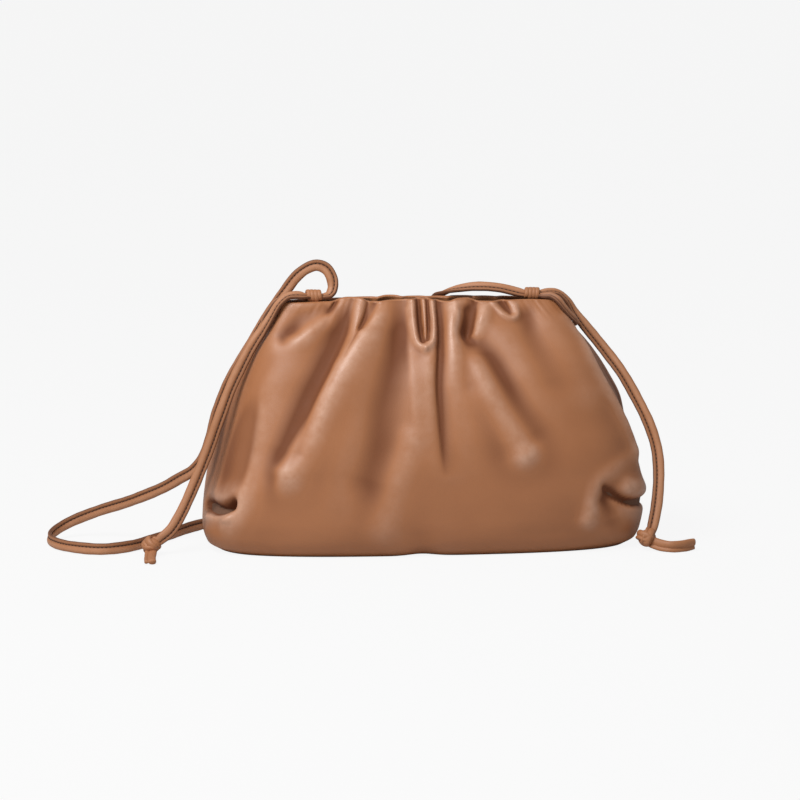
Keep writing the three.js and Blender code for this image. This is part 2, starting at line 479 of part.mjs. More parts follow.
addPart('pouch', toGeometry(toSolid(pouchGeometry()).subtract(slots)), 0xa36b49, 0.46);
addPart('strap_main', stripGeometry(MAIN_ROUTE, strap), 0x9c6b4c, 0.52);
addPart('strap_tail_left', stripGeometry(LEFT_TAIL_ROUTE, strap), 0x9c6b4c, 0.52);
addPart('strap_tail_right', stripGeometry(RIGHT_TAIL_ROUTE, strap), 0x9c6b4c, 0.52);
addPart('corner_loop_left', stripGeometry(LEFT_LOOP_ROUTE, loop), 0x94623f, 0.54);
addPart('corner_loop_right', stripGeometry(RIGHT_LOOP_ROUTE, loop), 0x94623f, 0.54);
addPart('slip_knot_left', slipKnotGeometry(-SLIP_KNOT_FROM_MIDDLE), 0xa06e50, 0.5);
addPart('slip_knot_right', slipKnotGeometry(SLIP_KNOT_FROM_MIDDLE), 0xa06e50, 0.5);
for (const knot of END_KNOTS) addPart(knot.name, endKnotGeometry(knot), 0x9c6b4c, 0.52);

export default group;
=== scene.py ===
# %% [markdown]
# # A gathered leather pouch bag
#
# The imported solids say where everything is. This notebook dresses them: it
# rebuilds each soft piece with its folds, seams and stitches, gives it
# leather, and lights it like a product photograph. Lengths are in
# millimetres in the tables, and become metres when a mesh is made.

import math

import bpy
import numpy as np
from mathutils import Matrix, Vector


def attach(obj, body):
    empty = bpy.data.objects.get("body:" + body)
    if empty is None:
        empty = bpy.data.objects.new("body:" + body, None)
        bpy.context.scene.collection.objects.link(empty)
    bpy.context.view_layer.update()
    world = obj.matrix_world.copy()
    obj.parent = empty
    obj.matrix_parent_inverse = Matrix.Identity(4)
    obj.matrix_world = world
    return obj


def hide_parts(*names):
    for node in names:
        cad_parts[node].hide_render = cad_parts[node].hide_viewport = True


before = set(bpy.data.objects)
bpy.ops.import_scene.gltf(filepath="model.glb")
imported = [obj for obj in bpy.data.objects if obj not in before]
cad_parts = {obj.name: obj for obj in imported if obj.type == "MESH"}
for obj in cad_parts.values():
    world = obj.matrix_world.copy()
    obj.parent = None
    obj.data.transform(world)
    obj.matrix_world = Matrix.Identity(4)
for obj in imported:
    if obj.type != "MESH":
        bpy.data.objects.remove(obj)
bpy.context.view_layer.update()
MM = 0.001
print("solids in the frame:", sorted(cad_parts))

# %% [markdown]
# ## The camera
#
# The photograph was taken from a little above and a little to the left, with
# a long lens. Azimuth turns round the bag and elevation lifts the camera. A
# long lens far away keeps the rim and the floor nearly level in the picture.

# %% Place the camera
TARGET = Vector((-0.0120, 0.0, 0.0754))
AZIMUTH, ELEVATION = math.radians(-5.0), math.radians(9.5)
DISTANCE = 1.3867
LENS = 120.0


def towards_camera(azimuth, elevation):
    """Direction from the object to the camera."""
    level = math.cos(elevation)
    return Vector((math.sin(azimuth) * level, -math.cos(azimuth) * level, math.sin(elevation)))


camera = bpy.data.objects.new("camera", bpy.data.cameras.new("camera"))
camera.data.lens = LENS
camera.data.sensor_width = 36.0
camera.location = TARGET + DISTANCE * towards_camera(AZIMUTH, ELEVATION)
camera.rotation_euler = towards_camera(AZIMUTH, ELEVATION).to_track_quat("Z", "Y").to_euler()
bpy.context.collection.objects.link(camera)
bpy.context.scene.camera = camera
print("camera at", [round(v, 3) for v in camera.location])

# %% [markdown]
# ## Meshes from rings of points
#
# Straps, knots and the pouch are all lofts: rings of points, one after the
# other, joined by quads. `loft_faces` makes the quads once for all of them,
# and `make_piece` turns the points into an object that rides on the body of
# the frame and stands for its solid.


# %% Helpers that build the meshes
def loft_faces(rings, sides):
    """Quads between neighbouring rings that each have this many points."""
    row, column = np.meshgrid(np.arange(rings - 1), np.arange(sides), indexing="ij")
    here = row * sides + column
    beside = row * sides + (column + 1) % sides
    return np.stack([here, beside, beside + sides, here + sides], -1).reshape(-1, 4)


def cap_faces(centre, first, sides, turned):
    """A fan of triangles from a centre point over a ring."""
    a = first + np.arange(sides)
    b = first + (np.arange(sides) + 1) % sides
    fan = np.stack([np.full(sides, centre), b, a], -1)
    return fan[:, ::-1] if turned else fan


def closed_loft(rings):
    """Points and faces of a closed body through an array of rings."""
    count, sides = rings.shape[:2]
    points = np.concatenate([rings.reshape(-1, 3), [rings[0].mean(0)], [rings[-1].mean(0)]])
    faces = loft_faces(count, sides).tolist()
    faces += cap_faces(count * sides, 0, sides, False).tolist()
    faces += cap_faces(count * sides + 1, (count - 1) * sides, sides, True).tolist()
    return points, faces


def make_piece(name, points, faces, material, solid=None, slot=None):
    """A smooth mesh object in metres that rides on the bag."""
    mesh = bpy.data.meshes.new(name)
    mesh.from_pydata((np.asarray(points) * MM).tolist(), [], faces)
    mesh.shade_smooth()
    piece = bpy.data.objects.new(name, mesh)
    bpy.context.collection.objects.link(piece)
    if material is not None:
        mesh.materials.append(material)
    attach(piece, "root")
    if solid:
        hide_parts(solid)
    return piece


def unit(vectors):
    """Vectors scaled to length 1."""
    return vectors / np.linalg.norm(vectors, axis=-1, keepdims=True)


def smoothstep(x, low, high):
    """0 below low, 1 above high, and a smooth rise between them."""
    t = np.clip((x - low) / (high - low), 0, 1)
    return t * t * (3 - 2 * t)


# %% [markdown]
# ## Leather, thread and lining
#
# One node group makes the leather's colour, roughness and height, so that
# the bag, strap and loops stay one material family. Large soft noise gives
# the slight clouding of dyed hide, small cells give its grain, and two
# attributes painted on the mesh by the builder, `cavity` and `crest`, paint
# shade into the bottoms of folds and a highlight onto the tops.


# %% The leather node group
def add_node(tree, kind, **settings):
    """A node with its settings and the values of its sockets."""
    node = tree.nodes.new(kind)
    for key, value in settings.items():
        if hasattr(node, key):
            setattr(node, key, value)
        else:
            node.inputs[key.replace("_", " ")].default_value = value
    return node


def leather_group():
    """Node group: colour, roughness and height of a soft dyed leather."""
    tree = bpy.data.node_groups.new("soft_leather", "ShaderNodeTree")
    face = tree.interface
    for name, kind, value in [
        ("Mid", "NodeSocketColor", (0.35, 0.15, 0.07, 1)),
        ("Deep", "NodeSocketColor", (0.16, 0.06, 0.03, 1)),
        ("Painted Highlight", "NodeSocketColor", (0.42, 0.2, 0.11, 1)),
        ("Roughness", "NodeSocketFloat", 0.45),
        ("Grain Scale", "NodeSocketFloat", 1500.0),
    ]:
        socket = face.new_socket(name, in_out="INPUT", socket_type=kind)
        socket.default_value = value
    for name, kind in (("Color", "Color"), ("Roughness", "Float"), ("Height", "Float")):
        face.new_socket(name, in_out="OUTPUT", socket_type="NodeSocket" + kind)
    link = tree.links.new
    given = tree.nodes.new("NodeGroupInput").outputs
    made = tree.nodes.new("NodeGroupOutput").inputs
    where = tree.nodes.new("ShaderNodeTexCoord").outputs["Object"]

    def mixed(share, first, second):
        """A colour between two others."""
        node = add_node(tree, "ShaderNodeMix", data_type="RGBA")
        for source, socket in ((share, "Factor"), (first, 6), (second, 7)):
            link(source, node.inputs[socket])
        return node.outputs[2]

    def times(source, factor, added=None):
        """A value times a factor, with another value added to it."""
        node = add_node(tree, "ShaderNodeMath", operation="MULTIPLY_ADD" if added else "MULTIPLY")
        link(source, node.inputs[0])
        if isinstance(factor, float):
            node.inputs[1].default_value = factor
        else:
            link(factor, node.inputs[1])
        if added:
            link(added, node.inputs[2])
        return node.outputs[0]

    def moved(source, *limits):
        """A value moved from one range to another."""
        node = tree.nodes.new("ShaderNodeMapRange")
        for socket, limit in zip(("From Min", "From Max", "To Min", "To Max"), limits):
            node.inputs[socket].default_value = limit
        link(source, node.inputs["Value"])
        return node.outputs["Result"]

    clouds = add_node(tree, "ShaderNodeTexNoise", Scale=22.0, Detail=4.0, Roughness=0.55)
    patches = add_node(tree, "ShaderNodeTexNoise", Scale=160.0, Detail=3.0, Roughness=0.6)
    cells = add_node(tree, "ShaderNodeTexVoronoi", feature="DISTANCE_TO_EDGE")
    pores = add_node(tree, "ShaderNodeTexNoise", Scale=2600.0, Detail=2.0)
    for texture in (clouds, patches, cells, pores):
        link(where, texture.inputs["Vector"])
    link(given["Grain Scale"], cells.inputs["Scale"])
    cavity, crest = (
        add_node(tree, "ShaderNodeAttribute", attribute_name=name).outputs["Fac"]
        for name in ("cavity", "crest"))

    # Clouding pulls the middle colour a little towards the deep one, folds keep
    # more of the deep colour as painted shade, and crests get a painted highlight.
    cloud_share = moved(clouds.outputs["Fac"], 0.35, 0.7, 0.0, 0.16)
    clouded = mixed(cloud_share, given["Mid"], given["Deep"])
    folded = mixed(times(cavity, 0.95), clouded, given["Deep"])
    painted_highlight = mixed(times(crest, patches.outputs["Fac"]), folded, given["Painted Highlight"])
    link(painted_highlight, made["Color"])

    # Crests are a little smoother, pores and the bottoms of folds rougher.
    uneven = times(patches.outputs["Fac"], 0.12, given["Roughness"])
    polished = times(crest, -0.07, uneven)
    link(times(cavity, 0.3, polished), made["Roughness"])

    # Height: shallow cells with rounded tops, and finer pores on them.
    tops = moved(cells.outputs["Distance"], 0.0, 0.25, 0.0, 0.7)
    link(times(pores.outputs["Fac"], 0.5, tops), made["Height"])
    return tree


LEATHER = leather_group()
print("leather group:", len(LEATHER.nodes), "nodes")


# %% The materials
def linear(red, green, blue):
    """A colour measured on a screen, 0 to 255, as linear light."""
    share = np.array([red, green, blue]) / 255
    light = np.where(share <= 0.04045, share / 12.92, ((share + 0.055) / 1.055) ** 2.4)
    return (*[float(v) for v in light], 1.0)


def leather_material(name, mid, deep, painted_highlight, roughness, grain_scale, bump):
    """A Principled leather whose colour, roughness and bump come from the group."""
    material = bpy.data.materials.new(name)
    material.use_nodes = True
    tree = material.node_tree
    shader = tree.nodes["Principled BSDF"]
    surface = tree.nodes.new("ShaderNodeGroup")
    surface.node_tree = LEATHER
    surface.inputs["Mid"].default_value = linear(*mid)
    surface.inputs["Deep"].default_value = linear(*deep)
    surface.inputs["Painted Highlight"].default_value = linear(*painted_highlight)
    surface.inputs["Roughness"].default_value = roughness
    surface.inputs["Grain Scale"].default_value = grain_scale
    relief = tree.nodes.new("ShaderNodeBump")
    relief.inputs["Strength"].default_value = bump
    relief.inputs["Distance"].default_value = 0.00012
    tree.links.new(surface.outputs["Color"], shader.inputs["Base Color"])
    tree.links.new(surface.outputs["Roughness"], shader.inputs["Roughness"])
    tree.links.new(surface.outputs["Height"], relief.inputs["Height"])
    tree.links.new(relief.outputs["Normal"], shader.inputs["Normal"])
    shader.inputs["IOR"].default_value = 1.5
    shader.inputs["Sheen Weight"].default_value = 0.02
    shader.inputs["Sheen Roughness"].default_value = 0.5
    return material


# Each leather gets a middle colour, a deep colour for clouding and for painted shade in folds and
# grooves, and a pale colour for the painted highlight on crests and on the strap's roll.
bag_leather = leather_material(
    "bag_leather", (168, 110, 71), (106, 54, 18), (206, 164, 140), 0.4, 1500.0, 0.35)
strap_leather = leather_material(
    "strap_leather", (168, 112, 74), (100, 60, 36), (190, 138, 104), 0.5, 2000.0, 0.3)
loop_leather = leather_material(
    "loop_leather", (158, 105, 72), (92, 56, 36), (176, 126, 94), 0.44, 2000.0, 0.3)
inner_leather = leather_material(
    "inner_leather", (112, 78, 58), (70, 44, 30), (120, 86, 66), 0.8, 900.0, 0.8)
thread = leather_material(
    "thread", (62, 36, 22), (44, 26, 16), (80, 48, 30), 0.7, 5200.0, 0.9)
print("materials:", [m.name for m in bpy.data.materials])

# %% [markdown]
# ## The strap's route
#
# A strap is one flat strip that follows a route through space. Each row of a
# route gives a point and the direction in which the strip's face looks, so
# that it can turn from its flat side to its edge. The points are those of the
# frame's solids, and a few rows of the left tail and right loop lie up to 2 mm
# nearer the bag. A centripetal Catmull-Rom curve passes through all of
# them without loops or overshoot.

# %% Routes as x, y, z in millimetres and the direction of the face
MAIN_ROUTE = [
    (-50.8, 0.0, 130.2, (0, -0.2, 1)), (-48.4, 0.6, 130.8, (-0.5, -0.4, 1)),
    (-46.6, 2.4, 134.4, (-0.7, -1, 0.2)), (-47.2, 3.6, 139.6, (0, -1, 0)),
    (-50.0, 4.6, 144.0, (0, -1, 0)), (-54.8, 5.2, 145.7, (0, -1, 0)),
    (-60.4, 5.8, 143.7, (0, -1, 0)), (-65.4, 6.2, 139.6, (-0.1, -1, 0)),
    (-70.6, 6.7, 132.8, (-0.3, -1, 0.1)), (-76.0, 7.0, 125.6, (-0.6, -0.8, 0.3)),
    (-83.2, 6.5, 115.2, (-0.8, -0.7, 0.3)), (-89.4, 5.5, 104.4, (-0.7, -0.8, 0.2)),
    (-96.2, 4.6, 93.2, (-0.4, -1, 0)), (-102.0, 3.2, 82.2, (-0.2, -1, 0)),
    (-106.9, 1.4, 69.8, (-0.2, -1, 0)), (-110.4, -0.6, 57.1, (-0.2, -1, 0)),
    (-114.2, -1.6, 46.9, (-0.2, -1, 0.1)), (-119.8, -1.2, 40.2, (-0.2, -1, 0.1)),
    (-127.1, 1.4, 35.4, (-0.1, -1, 0.1)), (-135.4, 5.6, 30.0, (0, -1, 0.1)),
    (-152.8, 15.0, 21.3, (0.2, -1, 0.1)), (-170.3, 23.0, 14.4, (0.3, -1, 0.1)),
    (-184.7, 25.0, 8.4, (0.8, -1, 0.1)), (-192.9, 18.0, 4.8, (1, -0.3, 0)),
    (-194.6, 7.0, 3.6, (1, 0.1, 0)), (-190.0, -4.6, 3.4, (0.9, 0.6, 0)),
    (-180.0, -14.2, 3.4, (0.4, 1, 0)), (-166.4, -19.4, 3.4, (0, 1, 0)),
    (-152.7, -13.4, 3.4, (-0.7, 1, 0)), (-141.0, 0.8, 3.4, (-1, 0.7, 0)),
    (-130.6, 16.0, 3.4, (-1, 0.7, 0)), (-119.6, 32.0, 3.4, (-1, 0.7, 0)),
    (-104.0, 46.5, 3.4, (-0.5, 1, 0)), (-78.0, 54.0, 3.4, (-0.1, 1, 0)),
    (-46.0, 56.0, 3.4, (0, 1, 0)), (-14.0, 55.0, 3.4, (0.1, 1, 0.1)),
    (12.0, 53.0, 6.5, (0.4, 1, 0.3)), (27.0, 50.5, 18.0, (0.6, 1, 0.1)),
    (29.0, 48.6, 34.0, (0.2, 1, 0)), (24.5, 46.2, 52.0, (0, 1, 0.1)),
    (18.5, 41.6, 74.0, (0, 1, 0.3)), (13.0, 33.8, 96.0, (0, 1, 0.5)),
    (9.0, 22.5, 115.0, (0, 1, 0.8)), (8.4, 12.6, 127.6, (0, 0.6, 1)),
    (12.4, 7.4, 130.8, (0, 0, 1)), (20.5, 4.2, 133.2, (0, -0.5, 1)),
    (29.0, 2.4, 134.2, (0.1, -0.8, 1)), (40.1, 1.0, 133.4, (0.2, -0.8, 1)),
    (51.0, 0.2, 130.8, (0.2, -0.8, 1)),
]
LEFT_TAIL_ROUTE = [
    (-62.3, -3.3, 131.0, (0, -0.4, 1)), (-66.0, -3.8, 131.4, (0, -0.5, 1)),
    (-70.6, -4.2, 130.6, (-0.5, -0.4, 1)), (-75.2, -4.7, 126.6, (-0.9, -0.5, 0.7)),
    (-78.6, -5.1, 121.1, (-0.9, -0.6, 0.5)), (-82.5, -5.5, 115.0, (-0.8, -0.8, 0.3)),
    (-88.3, -5.4, 106.6, (-0.5, -1, 0.1)), (-94.4, -6.0, 95.6, (-0.2, -1, 0)),
    (-99.9, -7.0, 84.4, (-0.1, -1, 0)), (-105.4, -8.5, 70.4, (0, -1, 0)),
    (-112.2, -10.5, 52.0, (0, -1, 0)), (-119.2, -13.5, 35.4, (0, -1, 0)),
    (-126.4, -17.2, 20.6, (0, -1, 0)), (-131.6, -19.6, 12.8, (0.1, -1, 0.1)),
    (-136.3, -20.9, 8.9, (0.2, -1, 0.2)),
]
RIGHT_TAIL_ROUTE = [
    (62.3, 2.6, 130.4, (0, -0.2, 1)), (65.8, 2.8, 130.9, (0.1, -0.3, 1)),
    (70.5, 3.0, 130.4, (0.5, -0.3, 1)), (75.5, 3.0, 126.5, (0.9, -0.5, 0.7)),
    (79.6, 2.9, 120.1, (0.8, -0.8, 0.4)), (84.3, 2.0, 114.0, (0.5, -1, 0.2)),
    (90.0, 1.0, 107.0, (0.3, -1, 0.1)), (96.0, -0.6, 99.5, (0.2, -1, 0)),
    (103.2, -4.4, 89.7, (0.1, -1, 0)), (110.2, -8.0, 77.4, (0.1, -1, 0)),
    (117.0, -12.0, 63.1, (0, -1, 0)), (120.7, -15.0, 50.5, (0, -1, 0)),
    (121.3, -19.0, 38.7, (0, -1, 0)), (119.6, -24.6, 23.9, (0, -1, 0)),
    (116.6, -29.0, 11.9, (0, -1, 0.1)),
]
RIGHT_LOOP_ROUTE = [
    (62.3, -3.3, 129.6, (0, -0.3, 1)), (66.0, -4.6, 129.8, (0.2, -0.5, 1)),
    (69.4, -6.2, 128.0, (0.5, -0.8, 0.6)), (72.3, -6.4, 124.3, (0.8, -0.7, 0.4)),
    (75.8, -5.3, 120.0, (0.9, -0.5, 0.3)), (79.0, -3.4, 116.7, (1, -0.2, 0.1)),
    (79.6, -2.0, 114.9, (0.5, 0, -0.9)), (76.6, -1.4, 114.3, (0, 0, -1)),
    (72.0, -1.4, 114.4, (0, 0, -1)), (68.0, -1.2, 116.4, (-0.6, 0, -0.9)),
    (65.6, -0.8, 120.4, (-1, 0, -0.4)), (64.0, -0.4, 124.4, (-1, 0, -0.4)),
]
LEFT_LOOP_ROUTE = [
    (-62.3, 1.9, 129.6, (0, 0.2, 1)), (-66.0, 1.9, 130.1, (0, 0.2, 1)),
    (-70.6, 1.6, 130.0, (-0.3, 0.1, 1)), (-75.6, 1.3, 127.8, (-0.8, 0.1, 0.7)),
    (-79.6, 1.2, 122.9, (-1, 0.1, 0.4)), (-82.4, 1.1, 118.2, (-1, 0, 0.1)),
    (-82.4, 1.0, 115.3, (-0.5, 0, -0.9)), (-79.4, 0.9, 114.3, (0, 0, -1)),
    (-74.0, 0.9, 114.4, (0, 0, -1)), (-69.6, 0.7, 116.4, (0.6, 0, -0.9)),
    (-66.8, 0.5, 120.4, (1, 0, -0.4)), (-65.0, 0.3, 124.4, (1, 0, -0.4)),
]


# %% Follow a route
def follow(route, steps_per_span):
    """Centres, directions and looks along the curve through a route's rows."""
    rows = np.array([row[:3] for row in route], float)
    looks = unit(np.array([row[3] for row in route], float))
    ends = np.concatenate([[2 * rows[0] - rows[1]], rows, [2 * rows[-1] - rows[-2]]])
    centres, faces = [], []
    for i in range(len(rows) - 1):
        p0, p1, p2, p3 = ends[i:i + 4]
        before, span, after = (
            max(np.linalg.norm(b - a), 1e-6) ** 0.5 for a, b in ((p0, p1), (p1, p2), (p2, p3)))
        start = ((p1 - p0) / before - (p2 - p0) / (before + span) + (p2 - p1) / span) * span
        end = ((p2 - p1) / span - (p3 - p1) / (span + after) + (p3 - p2) / after) * span
        last = i == len(rows) - 2
        t = np.linspace(0, 1, steps_per_span + 1)[:, None][: steps_per_span + last]
        cubic = (2 * p1 - 2 * p2 + start + end) * t ** 3
        square = (-3 * p1 + 3 * p2 - 2 * start - end) * t ** 2
        centres.append(p1 + start * t + square + cubic)
        faces.append(looks[i] * (1 - t) + looks[i + 1] * t)
    centres = np.concatenate(centres)
    return centres, unit(np.gradient(centres, axis=0)), np.concatenate(faces)


def sides_of(along, looks):
    """Across the strip and out of its face, square to its direction."""
    across = unit(np.cross(looks, along))
    return across, np.cross(along, across)


def run_length(points):
    """Length of a line through points."""
    return float(np.linalg.norm(np.diff(points, axis=0), axis=1).sum())


for name, route in (("main", MAIN_ROUTE), ("left tail", LEFT_TAIL_ROUTE),
                    ("right tail", RIGHT_TAIL_ROUTE), ("loop", RIGHT_LOOP_ROUTE)):
    print(f"{name} route: {run_length(follow(route, 12)[0]):.1f} mm")

# %% [markdown]
# ## The strap's section
#
# The strap is a folded strip: a soft round roll on one side, then a stitched
# groove, then a thin lip where the two edges meet. Drawing that section and
# sweeping it gives the light the same two bands as in the picture.
# Where the strap meets a knot it is pinched, so its section shrinks there.

# %% Sweep the padded section along the routes
STRAP_WIDTH, STRAP_THICKNESS = 6.0, 2.8
LOOP_WIDTH, LOOP_THICKNESS = 4.2, 2.6
# Half of the section from lip to roll, as shares of the half width and half thickness.
HALF_SECTION = [
    (-1.00, 0.16), (-0.96, 0.42), (-0.86, 0.60), (-0.68, 0.66), (-0.50, 0.60), (-0.40, 0.44),
    (-0.32, 0.40), (-0.24, 0.56), (-0.08, 0.82), (0.18, 0.98), (0.46, 1.00), (0.70, 0.88),
    (0.88, 0.62), (0.98, 0.26),
]
GROOVE = (-0.35, 0.43)


def strap_section(width, thickness, lip):
    """The closed section, its lip on the side that lip's sign gives."""
    half = [(x * width / 2, y * thickness / 2) for x, y in HALF_SECTION]
    ring = half + [(x, -y) for x, y in reversed(half)]
    return np.array([(-lip * x, y) for x, y in (ring if lip > 0 else ring[::-1])])


def sweep(route, section, steps_per_span=10, pinch=(0.8, 0.8), pinch_over=5.0, seed=1.0):
    """Rings of a strip along a route, a little uneven, pinched at its ends."""
    centres, along, looks = follow(route, steps_per_span)
    across, out = sides_of(along, looks)
    place = np.concatenate([[0], np.cumsum(np.linalg.norm(np.diff(centres, axis=0), axis=1))])
    from_end = np.minimum(place, place[-1] - place)
    near_first = place < place[-1] / 2
    share = np.where(near_first, pinch[0], pinch[1])
    size = share + (1 - share) * smoothstep(from_end, 0, pinch_over)
    wave = 0.02 * np.sin(place * 0.31 + seed) + 0.012 * np.sin(place * 0.83 + 2 * seed)
    wide, thick = size * (1 + wave), size * (1 - wave)
    rings = (centres[:, None]
             + across[:, None] * section[None, :, :1] * wide[:, None, None]
             + out[:, None] * section[None, :, 1:] * thick[:, None, None])
    return rings, centres, (across, out, wide, thick)


def lengthened(route, first=None, last=None):
    """A route that goes a little further into the knots at its ends."""
    rows = list(route)
    if first:
        rows.insert(0, (*first, rows[0][3]))
    if last:
        rows.append((*last, rows[-1][3]))
    return rows


def paint_crests(piece, section, rings):
    """Marks the groove and lip as a cavity for painted shade and the roll's top as a crest for a
    painted highlight.
    """
    half = np.array([y for _, y in HALF_SECTION])
    hollow = np.clip((0.7 - half) / 0.25, 0, 1) * (np.arange(len(half)) < 9)
    high = np.clip((half - 0.8) / 0.2, 0, 1)
    for name, profile in (("cavity", hollow), ("crest", high)):
        ring = np.concatenate([profile, profile[::-1]])
        values = np.concatenate([np.tile(ring, rings), [0, 0]])
        layer = piece.data.attributes.new(name, "FLOAT", "POINT")
        layer.data.foreach_set("value", values.astype(np.float32))


STRAPS = [
    # name, route with its ends led into the knots, width, thickness, lip side, slot
    ("strap_main", lengthened(MAIN_ROUTE, (-54.0, -0.2, 130.0), (54.0, 0.0, 130.2)),
     STRAP_WIDTH, STRAP_THICKNESS, -1, "strap_leather"),
    ("strap_tail_left", lengthened(LEFT_TAIL_ROUTE, (-59.6, -1.6, 130.4), (-139.0, -21.4, 6.6)),
     STRAP_WIDTH, STRAP_THICKNESS, 1, "strap_leather"),
    ("strap_tail_right", lengthened(RIGHT_TAIL_ROUTE, (59.6, 1.2, 130.2), (115.4, -30.0, 8.6)),
     STRAP_WIDTH, STRAP_THICKNESS, -1, "strap_leather"),
    ("corner_loop_left", lengthened(LEFT_LOOP_ROUTE, (-59.6, 1.0, 130.0)),
     LOOP_WIDTH, LOOP_THICKNESS, 1, "loop_leather"),
    ("corner_loop_right", lengthened(RIGHT_LOOP_ROUTE, (59.6, -1.4, 130.0)),
     LOOP_WIDTH, LOOP_THICKNESS, -1, "loop_leather"),
]
strips, centre_lines, grooves = {}, {}, {}
for number, (name, route, width, thickness, lip, slot) in enumerate(STRAPS):
    section = strap_section(width, thickness, lip)
    rings, centres, (across, out, wide, thick) = sweep(route, section, seed=number + 1.0)
    material = {"strap_leather": strap_leather, "loop_leather": loop_leather}[slot]
    piece = make_piece(name + "_leather", *closed_loft(rings), material, name, slot)
    paint_crests(piece, section, len(rings))
    strips[name], centre_lines[name] = piece, centres
    sunk = lip * GROOVE[0] * -width / 2 * wide[:, None]
    raised = GROOVE[1] * thickness / 2 * thick[:, None]
    grooves[name] = [centres + across * sunk + out * raised * side for side in (1, -1)]
print("strips:", {name: len(piece.data.polygons) for name, piece in strips.items()})

# %% [markdown]
# ## Stitches by Geometry Nodes
#
# The seam runs along the strap's groove on both faces. The groove's line
# becomes a curve, is resampled at the stitch pitch, and gets one small bean
# of thread at each point, turned along the curve. `Realize Instances` turns
# the beans into real mesh.


# %% Sew the strap
def stitch_nodes():
    """Geometry Nodes that sew beans of thread along a line."""
    tree = bpy.data.node_groups.new("stitches", "GeometryNodeTree")
    face = tree.interface
    face.new_socket("Line", in_out="INPUT", socket_type="NodeSocketGeometry")
    for name, value in (("Pitch", 0.0017), ("Length", 0.0011), ("Thickness", 0.0005)):
        face.new_socket(name, in_out="INPUT", socket_type="NodeSocketFloat").default_value = value
    face.new_socket("Thread", in_out="INPUT", socket_type="NodeSocketMaterial")
    face.new_socket("Stitches", in_out="OUTPUT", socket_type="NodeSocketGeometry")
    link = tree.links.new
    given, made = tree.nodes.new("NodeGroupInput"), tree.nodes.new("NodeGroupOutput")
    curve = tree.nodes.new("GeometryNodeMeshToCurve")
    points = tree.nodes.new("GeometryNodeResampleCurve")
    points.mode = "LENGTH"
    bean = tree.nodes.new("GeometryNodeMeshUVSphere")
    bean.inputs["Segments"].default_value = 8
    bean.inputs["Rings"].default_value = 5
    bean.inputs["Radius"].default_value = 0.5
    size = tree.nodes.new("ShaderNodeCombineXYZ")
    tangent = tree.nodes.new("GeometryNodeInputTangent")
    turn = tree.nodes.new("FunctionNodeAlignRotationToVector")
    turn.axis = "X"
    sow = tree.nodes.new("GeometryNodeInstanceOnPoints")
    real = tree.nodes.new("GeometryNodeRealizeInstances")
    paint = tree.nodes.new("GeometryNodeSetMaterial")
    link(given.outputs["Line"], curve.inputs["Mesh"])
    link(curve.outputs["Curve"], points.inputs["Curve"])
    link(given.outputs["Pitch"], points.inputs["Length"])
    link(points.outputs["Curve"], sow.inputs["Points"])
    link(bean.outputs["Mesh"], sow.inputs["Instance"])
    link(given.outputs["Length"], size.inputs["X"])
    link(given.outputs["Thickness"], size.inputs["Y"])
    link(given.outputs["Thickness"], size.inputs["Z"])
    link(size.outputs["Vector"], sow.inputs["Scale"])
    link(tangent.outputs["Tangent"], turn.inputs["Vector"])
    link(turn.outputs["Rotation"], sow.inputs["Rotation"])
    link(sow.outputs["Instances"], real.inputs["Geometry"])
    link(real.outputs["Geometry"], paint.inputs["Geometry"])
    link(given.outputs["Thread"], paint.inputs["Material"])
    link(paint.outputs["Geometry"], made.inputs["Stitches"])
    return tree


def sew(name, lines, tree, **values):
    """Runs the stitch nodes on lines of points and keeps the mesh they make."""
    points = np.concatenate(lines) * MM
    edges, start = [], 0
    for line in lines:
        edges += [(start + i, start + i + 1) for i in range(len(line) - 1)]
        start += len(line)
    mesh = bpy.data.meshes.new(name + "_line")
    mesh.from_pydata(points.tolist(), edges, [])
    piece = bpy.data.objects.new(name, mesh)
    bpy.context.collection.objects.link(piece)
    modifier = piece.modifiers.new("stitches", "NODES")
    modifier.node_group = tree
    sockets = {item.name: item.identifier for item in tree.interface.items_tree}
    for key, value in values.items():
        modifier[sockets[key]] = value
    graph = bpy.context.evaluated_depsgraph_get()
    sewn = bpy.data.meshes.new_from_object(piece.evaluated_get(graph))
    piece.modifiers.clear()
    piece.data = sewn
    sewn.name = name
    sewn.shade_smooth()
    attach(piece, "root")
    return piece


stitches = stitch_nodes()
STITCH = {"Pitch": 2.1 * MM, "Length": 1.35 * MM, "Thickness": 0.72 * MM}
BARE_START, BARE_END = 18, 12  # rings without stitches, where the strap is pinched
for name in ("strap_main", "strap_tail_left", "strap_tail_right"):
    lines = [line[BARE_START:-BARE_END] for line in grooves[name]]
    seam = sew(name + "_seam", lines, stitches, Thread=thread, **STITCH)
    print(seam.name, len(seam.data.polygons), "faces")

# %% [markdown]
# ## The slip knots
#
# Each end of the strap closes in a slip knot that sits on the rim. A narrow
# strip of leather winds round the strands four times, so it is swept along a
# helix. Its two ends dip inwards, where they are tucked under the wraps.


# %% Wind the slip knots
def rounded_section(width, thickness, sides, power=2.6):
    """A soft rectangle as a ring of points."""
    angle = np.linspace(0, 2 * math.pi, sides, endpoint=False)
    across = np.sign(np.cos(angle)) * np.abs(np.cos(angle)) ** (2 / power) * width / 2
    out = np.sign(np.sin(angle)) * np.abs(np.sin(angle)) ** (2 / power) * thickness / 2
    return np.stack([across, out], -1)


SLIP_LENGTH, SLIP_RADIUS, SLIP_WRAPS = 9.6, 3.6, 4
SLIP_FROM_MIDDLE, SLIP_HEIGHT = 56.8, 130.2
BAND_WIDTH, BAND_THICKNESS = 2.5, 1.9


